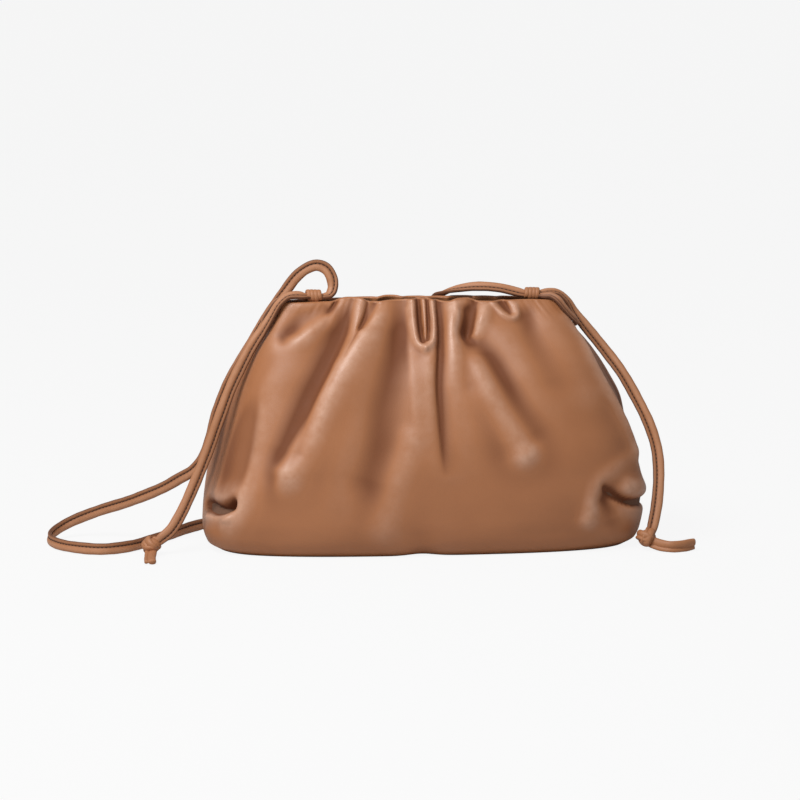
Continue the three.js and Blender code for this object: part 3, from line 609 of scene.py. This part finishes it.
def slip_knot(name, x, turned):
    """A strip wound along X round the strands of a slip knot."""
    turns = np.linspace(0, SLIP_WRAPS, SLIP_WRAPS * 40 + 1)
    angle = turned * 2 * math.pi * turns - 0.5 * math.pi
    dip = 1.5 * (1 - smoothstep(np.minimum(turns, SLIP_WRAPS - turns), 0, 0.3))
    radius = SLIP_RADIUS - BAND_THICKNESS / 2 - dip + 0.08 * np.sin(5.1 * turns)
    along_x = (turns / SLIP_WRAPS - 0.5) * (SLIP_LENGTH - BAND_WIDTH)
    centres = np.stack([x + along_x, radius * np.cos(angle),
                        SLIP_HEIGHT + radius * np.sin(angle)], -1)
    outwards = np.stack([0 * angle, np.cos(angle), np.sin(angle)], -1)
    along = unit(np.gradient(centres, axis=0))
    across, out = sides_of(along, outwards)
    section = rounded_section(BAND_WIDTH, BAND_THICKNESS, 16)
    rings = centres[:, None] + across[:, None] * section[:, :1] + out[:, None] * section[:, 1:]
    return make_piece(name + "_wraps", *closed_loft(rings), strap_leather, name, "strap_leather")


slip_knots = [slip_knot("slip_knot_left", -SLIP_FROM_MIDDLE, 1),
              slip_knot("slip_knot_right", SLIP_FROM_MIDDLE, -1)]
print("slip knots:", [len(knot.data.polygons) for knot in slip_knots])

# %% [markdown]
# ## The end knots
#
# Each tail ends in a tight overhand knot. Two bands of the padded strip turn
# round a hidden core, and the last stretch of the strip comes out from under
# them. The bands' middles and axes are the frame's own.

# %% Tie the end knots
END_KNOTS = [
    # name, middle, half sizes, axes of the two bands, route of the free end
    ("end_knot_left", (-141.2, -21.6, 5.4), (4.4, 4.0, 3.9),
     [(0.75, -0.1, 0.65), (-0.2, -0.35, 0.9)],
     [(-141.6, -22.0, 3.6, (0.1, 0.1, 1)), (-142.2, -29.0, 2.1, (0, 0.1, 1)),
      (-142.4, -36.5, 1.7, (0, 0, 1)), (-142.2, -43.5, 1.7, (0, 0, 1))]),
    ("end_knot_right", (113.6, -30.4, 6.2), (4.9, 4.6, 4.7),
     [(0.9, -0.25, -0.35), (0.45, 0.2, 0.85)],
     [(114.5, -32.0, 5.0, (0, -1, 0.3)), (119.5, -36.0, 3.7, (-0.2, -1, 0.3)),
      (125.0, -38.6, 3.3, (0, -1, 0.2)), (131.6, -37.2, 3.3, (0.3, -1, 0.1)),
      (137.6, -33.0, 3.3, (0.5, -1, 0))]),
]
BAND_TURN, BAND_STEPS, BAND_SUNK = 1.75 * math.pi, 56, 0.5


def band_rings(middle, half, axis, section):
    """Rings of a band that turns round an ellipsoid about an axis."""
    turn = Vector((0, 0, 1)).rotation_difference(Vector(axis).normalized()).to_matrix()
    angle = np.linspace(0, BAND_TURN, BAND_STEPS)
    outwards = np.stack([np.cos(angle), np.sin(angle), 0 * angle], -1) @ np.array(turn).T
    from_end = np.minimum(angle, BAND_TURN - angle)
    sink = BAND_SUNK + (1 - BAND_SUNK) * smoothstep(from_end, 0, 0.75)
    centres = np.array(middle) + outwards * np.array(half) * sink[:, None]
    across, out = sides_of(unit(np.gradient(centres, axis=0)), outwards)
    return centres[:, None] + across[:, None] * section[:, :1] + out[:, None] * section[:, 1:]


def end_knot(name, middle, half, axes, free):
    """Core, bands and free end of an end knot as one mesh."""
    points, faces = [], []

    def add(body_points, body_faces):
        start = sum(len(p) for p in points)
        points.append(body_points)
        faces.extend([[start + i for i in face] for face in body_faces])

    angle = np.linspace(0.02, math.pi - 0.02, 14)[::-1]
    round_by = np.linspace(0, 2 * math.pi, 24, endpoint=False)
    core = np.stack([
        np.sin(angle)[:, None] * np.cos(round_by), np.sin(angle)[:, None] * np.sin(round_by),
        np.cos(angle)[:, None] + 0 * round_by], -1) * (np.array(half) * 0.96) + np.array(middle)
    add(*closed_loft(core))
    band = strap_section(STRAP_WIDTH * 0.85, STRAP_THICKNESS * 0.85, -1)
    for axis in axes:
        add(*closed_loft(band_rings(middle, half, axis, band)))
    rings, _, _ = sweep(free, strap_section(STRAP_WIDTH, STRAP_THICKNESS, -1), 10, (0.9, 0.97), 2.0)
    add(*closed_loft(rings))
    return make_piece(name + "_bands", np.concatenate(points), faces, strap_leather,
                      name, "strap_leather")


end_knots = {row[0]: end_knot(*row) for row in END_KNOTS}
print("end knots:", {name: len(knot.data.polygons) for name, knot in end_knots.items()})

# %% [markdown]
#
# The main strap comes back to the bag and carries both slip knots, and the
# tails end in their knots.


# %% [markdown]
# ## The pouch's smooth form
#
# Before any fold, the pouch is a stack of rounded sections: narrow at the
# mouth, wide at the belly, flat below. A place on it has two numbers.
# *Around* is 0 at the middle of the front, -1 and 1 at the sides and 2 at
# the middle of the back. *Height* is a share of the bag's height.

# %% Sections of the smooth form
BAG_WIDTH, BAG_DEPTH, BAG_HEIGHT = 230.0, 86.0, 127.0
MOUTH_WIDTH, MOUTH_DEPTH, WALL = 146.0, 15.5, 2.2
SECTION_COLUMNS = ("height", "frontLeft", "frontRight", "backLeft", "backRight",
                   "front", "back", "square")
SECTIONS = np.array([
    [0.00, 0.82, 0.78, 0.82, 0.78, 0.74, 0.72, 3.0],
    [0.03, 0.98, 0.92, 0.94, 0.90, 0.86, 0.84, 3.1],
    [0.08, 1.03, 0.98, 1.01, 0.96, 0.94, 0.92, 3.2],
    [0.15, 0.99, 1.00, 1.03, 1.03, 0.985, 1.00, 3.3],
    [0.24, 0.85, 0.99, 1.05, 1.055, 1.00, 1.04, 3.3],
    [0.34, 0.67, 0.93, 1.05, 1.04, 0.99, 1.02, 3.2],
    [0.45, 0.52, 0.82, 0.99, 1.01, 0.95, 0.97, 3.1],
    [0.57, 0.42, 0.66, 0.83, 0.94, 0.87, 0.87, 3.0],
    [0.69, 0.35, 0.48, 0.63, 0.75, 0.75, 0.75, 2.9],
    [0.80, 0.27, 0.31, 0.42, 0.49, 0.57, 0.57, 2.9],
    [0.89, 0.17, 0.13, 0.22, 0.22, 0.36, 0.36, 3.0],
    [0.95, 0.08, 0.02, 0.10, 0.05, 0.18, 0.18, 3.2],
    [1.00, 0.00, -0.05, 0.00, -0.05, 0.00, 0.00, 3.6],
])


def section_at(column, height):
    """A column of the sections at a height, smooth and without overshoot."""
    x, y = SECTIONS[:, 0], SECTIONS[:, SECTION_COLUMNS.index(column)]
    slope = np.diff(y) / np.diff(x)
    before, after = slope[:-1], slope[1:]
    both = np.where(before * after <= 0, 1, before + after)
    inner = np.where(before * after <= 0, 0, 2 * before * after / both)
    tangent = np.concatenate([slope[:1], inner, slope[-1:]])
    i = int(np.clip(np.searchsorted(x, height, side="right") - 1, 0, len(x) - 2))
    span = x[i + 1] - x[i]
    t = min(max((height - x[i]) / span, 0), 1)
    return ((2 * t ** 3 - 3 * t ** 2 + 1) * y[i] + (t ** 3 - 2 * t ** 2 + t) * span * tangent[i]
            + (3 * t ** 2 - 2 * t ** 3) * y[i + 1] + (t ** 3 - t ** 2) * span * tangent[i + 1])


def quarter(height, back, right):
    """One quarter of a section, from the middle of the front or back to the side."""
    def half_width(column):
        return (MOUTH_WIDTH + (BAG_WIDTH - MOUTH_WIDTH) * section_at(column, height)) / 2

    at_front = half_width("frontRight" if right else "frontLeft")
    at_back = half_width("backRight" if right else "backLeft")
    deep_share = section_at("back" if back else "front", height)
    half_depth = (MOUTH_DEPTH + (BAG_DEPTH - MOUTH_DEPTH) * deep_share) / 2
    power = section_at("square", height)
    angle = (np.arange(241) / 240) ** 1.5 * math.pi / 2
    across = np.sin(angle) ** (2 / power) * (1 if right else -1)
    deep = np.clip(np.cos(angle), 0, 1) ** (2 / power) * (1 if back else -1)
    wide = at_front + (at_back - at_front) * smoothstep(deep, -1, 1)
    points = np.stack([across * wide, deep * half_depth], -1)
    lengths = np.concatenate([[0], np.cumsum(np.hypot(*np.diff(points, axis=0).T))])
    return points, lengths


def form_ring(around, height):
    """Points of the smooth form at many places of one height."""
    turned = (np.asarray(around, float) + 2) % 4 - 2
    ring = np.empty((len(turned), 3))
    ring[:, 2] = height * BAG_HEIGHT
    for back in (False, True):
        for right in (False, True):
            mine = ((turned >= 0) == right) & ((np.abs(turned) > 1) == back)
            points, lengths = quarter(height, back, right)
            share = np.abs(turned[mine])
            wanted = (2 - share if back else share) * lengths[-1]
            ring[mine, 0] = np.interp(wanted, lengths, points[:, 0])
            ring[mine, 1] = np.interp(wanted, lengths, points[:, 1])
    return ring


# Columns are closest on the front, and rows are closest at the rim and the base.
AROUND = np.concatenate([
    np.linspace(-1.04, 1.04, 330, endpoint=False), np.linspace(1.04, 2.96, 150, endpoint=False)])
ROWS = np.concatenate([
    np.linspace(0, 0.06, 10, endpoint=False), np.linspace(0.06, 0.82, 92, endpoint=False),
    np.linspace(0.82, 1, 38)])
form = np.array([form_ring(AROUND, height) for height in ROWS])
print("smooth form:", form.shape[:2], "rows and columns")

# %% [markdown]
# ## Folds
#
# Every fold is a stroke on the smooth form: a path of places, a width on
# each side of it in millimetres, and a depth at its start and end. Positive
# depths press the leather in, negative ones raise a ridge. Unequal widths
# make a pleat with one steep side, and *lean* slides the leather sideways so
# that a pleat laps over its crease. The list reads from left to right as in
# the photograph, then the plain gathers of the back.

# %% The list of folds
FOLD_COLUMNS = ("name", "path", "left", "right", "grow", "first", "last", "power", "lean")
FOLD_DEFAULTS = {"power": 2, "lean": 0}
FOLDS = [
    ("corner smear", [(-0.67, 0.99), (-0.73, 0.97), (-0.78, 0.945), (-0.82, 0.88)],
     5.5, 6, 1, 3.4, 3.0),
    ("corner ridge", [(-0.617, 0.95), (-0.702, 0.875), (-0.82, 0.86)], 4, 5, 1.2, -1.5, -1.4),
    ("rim notch", [(-0.6, 1), (-0.607, 0.985), (-0.64, 0.965)], 1.6, 1.6, 1.2, 4.5, 0.8, 1.4),
    ("long valley", [(-0.5, 1), (-0.502, 0.888), (-0.52, 0.775), (-0.545, 0.66), (-0.555, 0.542),
                     (-0.56, 0.445)], 13, 5, 1.2, 7.2, 2.8),
    ("pleat recess", [(-0.34, 1.0), (-0.35, 0.96), (-0.37, 0.92)], 2.6, 2.2, 0.9, 4, 1.5, 2.2),
    ("pleat edge", [(-0.377, 1), (-0.372, 0.95), (-0.407, 0.85), (-0.44, 0.77)],
     2.5, 1.0, 1.8, 3.4, 0.8, 1.3, -1.0),
    ("long ridge", [(-0.295, 0.948), (-0.4, 0.825), (-0.492, 0.642), (-0.557, 0.445),
                    (-0.58, 0.36)], 4.5, 10, 1.1, -1.8, -3.4),
    ("middle left valley", [(-0.16, 1), (-0.16, 0.85), (-0.182, 0.718), (-0.202, 0.603),
                            (-0.215, 0.448), (-0.235, 0.33)], 9, 12, 1.3, 5.2, 2.4),
    ("lobe edge", [(-0.112, 0.973), (-0.083, 0.792), (-0.062, 0.562)], 1.5, 3, 1.2, -0.7, -0.3),
    ("low lobe", [(-0.08, 0.485), (-0.13, 0.328), (-0.167, 0.122)], 7, 7, 1.3, -1.4, -1.2),
    ("pocket left lip", [(-0.085, 1), (-0.075, 0.93), (-0.055, 0.868), (-0.015, 0.838)],
     2.0, 1.8, 1, -2.9, -1.7),
    ("pocket right lip", [(0.052, 1), (0.045, 0.93), (0.028, 0.868), (-0.012, 0.838)],
     1.6, 1.8, 1, -2.6, -1.4),
    ("pocket left groove", [(-0.04, 1), (-0.032, 0.93), (-0.022, 0.872)], 1.5, 1.3, 1, 6, 2.4, 1.8),
    ("pocket right groove", [(0.018, 1), (0.014, 0.93), (0.004, 0.876)], 1.0, 1.2, 1, 5, 2, 1.8),
    ("middle crease", [(0.08, 1), (0.06, 0.865), (0.035, 0.715), (0.035, 0.562), (0.042, 0.42),
                       (0.052, 0.33)], 1.6, 6, 1.3, 5.2, 0.0, 1.4, 0.8),
    ("lobe of the crease", [(0.188, 0.99), (0.138, 0.865), (0.12, 0.715)], 4, 4, 1.5, -3, -0.6),
    ("lobe's valley", [(0.282, 0.96), (0.21, 0.84), (0.188, 0.715)], 4, 4, 1.6, 3, 0.8),
    ("right notch", [(0.355, 1), (0.318, 0.953), (0.268, 0.903)], 6, 1.6, 0.8, 4.0, 2.0, 1.8, -0.8),
    ("right pleat edge", [(0.42, 0.99), (0.365, 0.95), (0.29, 0.9)], 2, 4, 1, -1.8, -2.0),
    ("right long valley", [(0.255, 0.885), (0.31, 0.8), (0.338, 0.69), (0.35, 0.59),
                           (0.37, 0.5)], 8, 8, 1.4, 4.8, 1.8),
    ("right long ridge", [(0.215, 0.865), (0.262, 0.733), (0.315, 0.575), (0.365, 0.43)],
     6, 6, 1.4, -2.0, -4.2),
    ("small pocket lip", [(0.478, 1.0), (0.505, 0.96), (0.55, 0.943), (0.605, 0.96), (0.62, 0.99)],
     1.5, 2, 1, -2.0, -1.4),
    ("small pocket", [(0.553, 1), (0.557, 0.965)], 3.2, 1.6, 0.9, 6, 1.6, 1.8),
    ("right soft valley", [(0.66, 0.95), (0.6, 0.87), (0.56, 0.72)], 6, 6, 1.6, 2.0, 0.7),
    ("right crown", [(0.78, 0.96), (0.77, 0.84), (0.74, 0.66)], 8, 8, 1.5, -1.2, -1.4),
    ("right panel edge", [(0.93, 0.93), (0.905, 0.855), (0.863, 0.78), (0.853, 0.647), (0.868, 0.503),
                          (0.88, 0.398)], 6, 1.3, 1.2, -1.2, -1.8),
    ("right panel shade", [(0.95, 0.88), (0.905, 0.77), (0.895, 0.66), (0.905, 0.56)],
     2.0, 7, 1.2, 2.8, 2.2),
    ("right ear crease", [(0.655, 0.268), (0.668, 0.25), (0.708, 0.223), (0.768, 0.193),
                          (1.0, 0.17), (1.15, 0.165)], 1.5, 2.4, 1.2, 1.2, 7.0, 1.7),
    ("right ear ridge", [(0.86, 0.385), (0.728, 0.345), (0.645, 0.29), (0.605, 0.21),
                         (0.59, 0.14)], 5, 5, 1, -0.6, -1.6),
    ("right ear nose", [(0.77, 0.265), (0.98, 0.21)], 6, 5, 1, -1.4, -2.0),
    ("right ear hollow", [(0.66, 0.225), (0.675, 0.19), (0.69, 0.14)], 6, 9, 1, 2.4, 1.0),
    ("right gusset", [(1.05, 0.28), (1.03, 0.6), (1.0, 0.9)], 11, 13, 0.7, 5.6, 1.2, 2.2),
    ("left panel edge", [(-0.79, 0.68), (-0.765, 0.598), (-0.735, 0.45), (-0.718, 0.31),
                         (-0.732, 0.217), (-0.765, 0.158)], 3.0, 9, 1, -0.4, -1.5),
    ("left gusset oval", [(-0.96, 0.66), (-0.92, 0.43), (-0.87, 0.2)], 22, 13, 1, 0.4, 2.6),
    ("left ear pit", [(-0.762, 0.212), (-0.81, 0.192), (-0.92, 0.186),
                      (-1.03, 0.186)], 3.2, 2.6, 1, 8.5, 8.0, 1.8),
    ("left ear lip", [(-0.757, 0.16), (-0.825, 0.165), (-0.95, 0.14)], 2.4, 2.4, 1, -1.4, -1.2),
    ("base middle", [(-0.03, 0.0), (-0.03, 0.05)], 9, 9, 1, 1.2, 0.4),
]
# Folds that flatten out before their last place: the share of the way that this takes.
FADES = {"right ear crease": 0.35, "left ear pit": 0.35}
BACK_GATHERS = [
    # around, lean of the path, how far down it reaches, depth
    (-0.72, -0.12, 0.50, 3.6), (-0.52, -0.14, 0.30, 4.4), (-0.36, -0.10, 0.62, 3.8),
    (-0.18, -0.05, 0.36, 4.6), (-0.03, 0.00, 0.70, 3.8), (0.14, 0.04, 0.40, 4.4),
    (0.31, 0.09, 0.58, 3.8), (0.50, 0.13, 0.34, 4.4), (0.70, 0.12, 0.50, 3.6),
]
for number, (around, lean, reach, depth) in enumerate(BACK_GATHERS):
    path = [(2 + around + lean * t, 1 - reach * t) for t in (0, 0.3, 0.6, 1)]
    steep = (1.6, 4.5) if number % 2 else (4.5, 1.6)
    FOLDS.append((f"back gather {number}", path, *steep, 2.2, depth, 0.8, 1.4))
    crest = [(a + 0.085, h - 0.03) for a, h in path]
    FOLDS.append((f"back ridge {number}", crest, 4, 4, 1.8, -1.2, -0.5))
FOLDS = [FOLD_DEFAULTS | dict(zip(FOLD_COLUMNS, fold)) for fold in FOLDS]
print(len(FOLDS), "folds")


# %% Press the folds into the form
AROUND_UNIT = 170.0  # about how many millimetres one unit of around is at the belly


def fold_path(path, steps=40):
    """Places along a smooth curve through a fold's path, with their share of its way."""
    rows = [(a * 100, h * 100, 0.0, (0, 0, 1)) for a, h in path]
    places = follow(rows, max(4, steps // (len(path) - 1)))[0][:, :2] / 100
    return places, np.linspace(0, 1, len(places))


def place_at(around, height):
    """A point of the smooth form between the grid's rows, which lie close enough."""
    row = np.interp(np.clip(height, 0, 1), ROWS, np.arange(len(ROWS)))
    column = np.interp((around + 1.04) % 4 - 1.04, AROUND, np.arange(len(AROUND)))
    low, left = int(row), int(column)
    high, right = min(low + 1, len(ROWS) - 1), (left + 1) % len(AROUND)
    upper = form[high, left] * (1 - column % 1) + form[high, right] * (column % 1)
    lower = form[low, left] * (1 - column % 1) + form[low, right] * (column % 1)
    return lower * (1 - row % 1) + upper * (row % 1)


def stroke(fold, grid, around, height, reach=4.0):
    """Depth of one fold and its sideways lean at every point of the grid."""
    places, share = fold_path(fold["path"])
    spots = np.array([place_at(a, h) for a, h in places])
    nearest = np.full(around.shape, 1e9)
    at, side = np.zeros(around.shape), np.zeros(around.shape)
    metric = (AROUND_UNIT, BAG_HEIGHT)
    for i in range(len(spots) - 1):
        run = spots[i + 1] - spots[i]
        t = np.clip(((grid - spots[i]) @ run) / max(run @ run, 1e-9), 0, 1)
        off = np.linalg.norm(grid - spots[i] - t[..., None] * run, axis=-1)
        apart = (around - places[i, 0] + 2) % 4 - 2
        step = (places[i + 1] - places[i]) * metric
        right_by = apart * metric[0] - t * step[0]
        up_by = (height - places[i, 1]) * metric[1] - t * step[1]
        turn = (up_by * step[0] - right_by * step[1]) / (
            np.hypot(right_by, up_by) * np.hypot(*step) + 1e-6)
        closer = (off < nearest) & (np.abs(apart) < 0.6)
        nearest = np.where(closer, off, nearest)
        at = np.where(closer, share[i] + t * (share[i + 1] - share[i]), at)
        side = np.where(closer, smoothstep(turn, -1, 1), side)
    width = (fold["left"] * (1 - side) + fold["right"] * side) * (1 + (fold["grow"] - 1) * at)
    share_here = np.exp(-((nearest / width) ** fold["power"])) * (nearest < reach * width)
    depth = (fold["first"] + (fold["last"] - fold["first"]) * at) * share_here
    if fold["name"] in FADES:
        depth *= smoothstep(1 - at, 0, FADES[fold["name"]])
    both = (fold["left"] + fold["right"]) / 2 * (1 + (fold["grow"] - 1) * at)
    return depth, fold["lean"] * np.exp(-((nearest / (1.2 * both)) ** 2))


def around_step(grid):
    """Direction round the bag at each point of the grid."""
    return unit(np.roll(grid, -1, 1) - np.roll(grid, 1, 1))


def outwards_of(grid, level=None):
    """Outward direction at each point, turned level where level is 1."""
    normal = np.cross(around_step(grid), unit(np.gradient(grid, axis=0)))
    if level is not None:
        normal[..., 2] *= 1 - level
    return unit(normal)


RIM_FOLD_SHARE = 0.62
around_grid, height_grid = np.meshgrid(AROUND, ROWS)
at_rim = smoothstep(height_grid, 0.9, 1.0)
normals = outwards_of(form, at_rim)
depths, leans = np.zeros(around_grid.shape), np.zeros(around_grid.shape)
for fold in FOLDS:
    depth, lean = stroke(fold, form, around_grid, height_grid)
    depths += depth
    leans += lean
kept = 1 + (RIM_FOLD_SHARE - 1) * at_rim
print("deepest fold:", round(float((depths * kept).max()), 1), "mm, highest ridge:",
      round(float((depths * kept).min()), 1), "mm")

# %% [markdown]
# ## Small wrinkles and the hem
#
# Soft leather is never quite smooth between its folds. A few sums of sines
# at different angles stand for slow dents, and fine gathers run down from the
# rim and fade out. The wall thickens a little at the rim, where it is turned
# over and sewn.


# %% Wrinkles, hem and the outer face
def ripple(grid, waves):
    """A sum of sine waves through space: wavelength in mm, height and direction."""
    total = np.zeros(grid.shape[:2])
    for number, (wavelength, height, direction) in enumerate(waves):
        phase = grid @ unit(np.array(direction, float)) * 2 * math.pi / wavelength
        total += height * np.sin(phase + 1.7 * number)
    return total


slow = ripple(form, [(61, 0.4, (1, 0.3, 0.6)), (43, 0.2, (0.7, 0.2, -1)), (29, 0.08, (1, 0.5, 0.2)),
                     (23, 0.06, (-0.4, 0.3, 1))])
fine = 0.11 * np.sin(around_grid * 97) + 0.07 * np.sin(around_grid * 151 + 1.3)
fine *= smoothstep(height_grid, 0.9, 1.0) * (0.6 + 0.4 * np.sin(around_grid * 9))
HEM_HEIGHT, HEM_BULGE = 5.0, 0.5
hem = HEM_BULGE * smoothstep(height_grid * BAG_HEIGHT, BAG_HEIGHT - HEM_HEIGHT, BAG_HEIGHT)
calm = smoothstep(height_grid, 0.0, 0.1)
pressed = depths * kept
outer = form + normals * (hem - pressed + slow * calm + fine)[..., None]
outer += around_step(form) * (leans * (1 - 0.5 * at_rim))[..., None]
outer[..., 2] = np.clip(outer[..., 2], 0, BAG_HEIGHT)
RIM_LIFTS = [
    # around, half width, lift of the rim in mm
    (-0.49, 0.1, 2.2), (-0.2, 0.09, 0.7), (-0.02, 0.11, 1.4), (0.27, 0.08, 1.6), (0.7, 0.12, 0.4),
    (2.0, 0.72, 1.3), (2.22, 0.07, 0.8),
]
lift = np.zeros(around_grid.shape)
for centre, half_width, amount in RIM_LIFTS:
    apart = (around_grid - centre + 2) % 4 - 2
    lift += amount * np.exp(-((apart / half_width) ** 4))
lift *= smoothstep(height_grid, 0.88, 1.0)
outer[..., 2] += lift
print("outer face:", outer.reshape(-1, 3).min(0).round(1), outer.reshape(-1, 3).max(0).round(1))

# %% [markdown]
# ## Close the pouch
#
# The shell is one loft: a foot under the base, the outer face up, a rounded
# rim, and the inner face down to the floor inside. The inner face needs far
# fewer rows. `cavity` and `crest` compare each point's depth with the average
# round it, so they find fold bottoms and ridge tops at any size: the leather
# paints shade into the bottoms and a highlight onto the tops.


# %% Build the pouch
def blurred(field, across, along):
    """A field averaged over its neighbours, round the bag and up it."""
    for _ in range(2):
        field = sum(np.roll(field, k, 1) for k in range(-across, across + 1)) / (2 * across + 1)
        padded = np.pad(field, ((along, along), (0, 0)), mode="edge")
        field = sum(padded[k:k + len(field)] for k in range(2 * along + 1)) / (2 * along + 1)
    return field


FOOT_SHARE, RIM_RINGS, RIM_ARCH = 0.86, 6, 0.9
inner_rows = np.unique(np.concatenate([np.arange(0, len(ROWS), 7), [len(ROWS) - 1]]))[::-1]
inner = form - normals * (hem + pressed + WALL)[..., None]
inner += around_step(form) * (leans * (1 - 0.5 * at_rim))[..., None]
inner[..., 2] = np.clip(inner[..., 2], WALL, BAG_HEIGHT) + lift
middle, half = (outer[-1] + inner[-1]) / 2, (outer[-1] - inner[-1]) / 2
rim = []
for angle in np.linspace(0, math.pi, RIM_RINGS + 2)[1:-1]:
    arch = middle + half * math.cos(angle)
    arch[:, 2] += RIM_ARCH * math.sin(angle)
    rim.append(arch)
foot = outer[0] * (FOOT_SHARE, FOOT_SHARE, 0)
rings = np.concatenate([[foot], outer, rim, inner[inner_rows]])
points, faces = closed_loft(rings)
pouch = make_piece("pouch_leather", points, faces, bag_leather, "pouch", "bag_leather")
pouch.data.materials.append(inner_leather)
columns = len(AROUND)
HEM_INSIDE = 12.0
hem_rows = int((ROWS[inner_rows] * BAG_HEIGHT > BAG_HEIGHT - HEM_INSIDE).sum())
first_inner = (1 + len(outer) + RIM_RINGS + hem_rows) * columns
inside = np.zeros(len(faces), np.int32)
inside[first_inner:(len(rings) - 1) * columns] = 1
inside[-columns:] = 1
pouch.data.polygons.foreach_set("material_index", inside)



def below(across, along, full):
    """How far each point lies below its neighbours, as a share of a full depth in mm."""
    return (pressed - blurred(pressed, across, along)) / full


# Painted shade where a point lies below its neighbours, at the bottoms of folds.
hollow = np.clip(below(13, 7, 1.5), 0, 1)
hollow = np.clip(hollow + below(3, 2, 1.0), 0, 1)
SHADES = [
    # painted shade patches on the left gusset and in the left ear pit: around, height, half width,
    # half height, share of the deep colour
    (-0.835, 0.41, 0.105, 0.23, 0.5), (-0.88, 0.182, 0.13, 0.03, 1.0),
]
for centre, height, half_width, half_height, share in SHADES:
    off = np.hypot((around_grid - centre) / half_width, (height_grid - height) / half_height)
    hollow = np.clip(hollow + share * (1 - smoothstep(off, 0.7, 1.1)), 0, 1)
# Painted highlight where a point stands above its neighbours, on ridge tops; the same mask makes them
# a little smoother.
raised = np.clip(-below(9, 6, 1.3), 0, 1)
for name, field in (("cavity", hollow), ("crest", raised)):
    values = np.zeros(len(points), np.float32)
    values[columns:columns * (1 + len(outer))] = field.reshape(-1)
    pouch.data.attributes.new(name, "FLOAT", "POINT").data.foreach_set("value", values)
print("pouch:", len(pouch.data.polygons), "faces")

# %% [markdown]
# ## Floor and light
#
# The photograph has a white floor and backdrop and one large soft light from
# the upper left front. One area light does the same, so flanks of folds that
# face left are lit and the right ones are dark. The floor takes a pale shadow.


# %% Build the stage
def seen_or_felt(tree, seen, felt):
    """One shader for what the camera sees and another for the light that bounces."""
    path = tree.nodes.new("ShaderNodeLightPath")
    pick = tree.nodes.new("ShaderNodeMixShader")
    tree.links.new(path.outputs["Is Camera Ray"], pick.inputs["Fac"])
    tree.links.new(felt, pick.inputs[1])
    tree.links.new(seen, pick.inputs[2])
    return pick.outputs["Shader"]


def stage_material():
    """Pale floor that keeps only a soft shadow."""
    material = bpy.data.materials.new("studio_floor")
    material.use_nodes = True
    tree = material.node_tree
    tree.nodes.clear()
    out = tree.nodes.new("ShaderNodeOutputMaterial")
    pale = add_node(tree, "ShaderNodeBsdfDiffuse", Color=(0.9, 0.9, 0.9, 1))
    glow = add_node(tree, "ShaderNodeEmission", Color=PAPER, Strength=1.01)
    paper = add_node(tree, "ShaderNodeMixShader", Fac=0.95)
    tree.links.new(pale.outputs["BSDF"], paper.inputs[1])
    tree.links.new(glow.outputs["Emission"], paper.inputs[2])
    grey = add_node(tree, "ShaderNodeBsdfDiffuse", Color=(0.6, 0.58, 0.56, 1))
    shown = seen_or_felt(tree, paper.outputs["Shader"], grey.outputs["BSDF"])
    tree.links.new(shown, out.inputs["Surface"])
    return material


PAPER = linear(248, 248, 248)
floor_mesh = bpy.data.meshes.new("studio_floor")
floor_mesh.from_pydata([(-40, -40, 0), (40, -40, 0), (40, 40, 0), (-40, 40, 0)], [], [(0, 1, 2, 3)])
floor_mesh.materials.append(stage_material())
floor = bpy.data.objects.new("studio_floor", floor_mesh)
bpy.context.collection.objects.link(floor)


def area_light(name, place, size, power, aim=(0, 0, 0.06)):
    """A soft rectangular light that looks at the bag."""
    light = bpy.data.lights.new(name, "AREA")
    light.shape = "RECTANGLE"
    light.size, light.size_y = size
    light.energy = power
    lamp = bpy.data.objects.new(name, light)
    lamp.location = place
    lamp.rotation_euler = (Vector(place) - Vector(aim)).to_track_quat("Z", "Y").to_euler()
    bpy.context.collection.objects.link(lamp)
    return lamp


area_light("key_above_left", (-0.54, -0.6, 1.08), (0.7, 0.5), 16.5)
world = bpy.data.worlds.new("studio_air")
bpy.context.scene.world = world
world.use_nodes = True
air = world.node_tree
air.nodes.clear()
seen = add_node(air, "ShaderNodeBackground", Color=PAPER, Strength=1.0)
felt = add_node(air, "ShaderNodeBackground", Color=PAPER, Strength=0.37)
out = air.nodes.new("ShaderNodeOutputWorld")
shown = seen_or_felt(air, seen.outputs["Background"], felt.outputs["Background"])
air.links.new(shown, out.inputs["Surface"])
bpy.context.scene.view_settings.view_transform = "Standard"
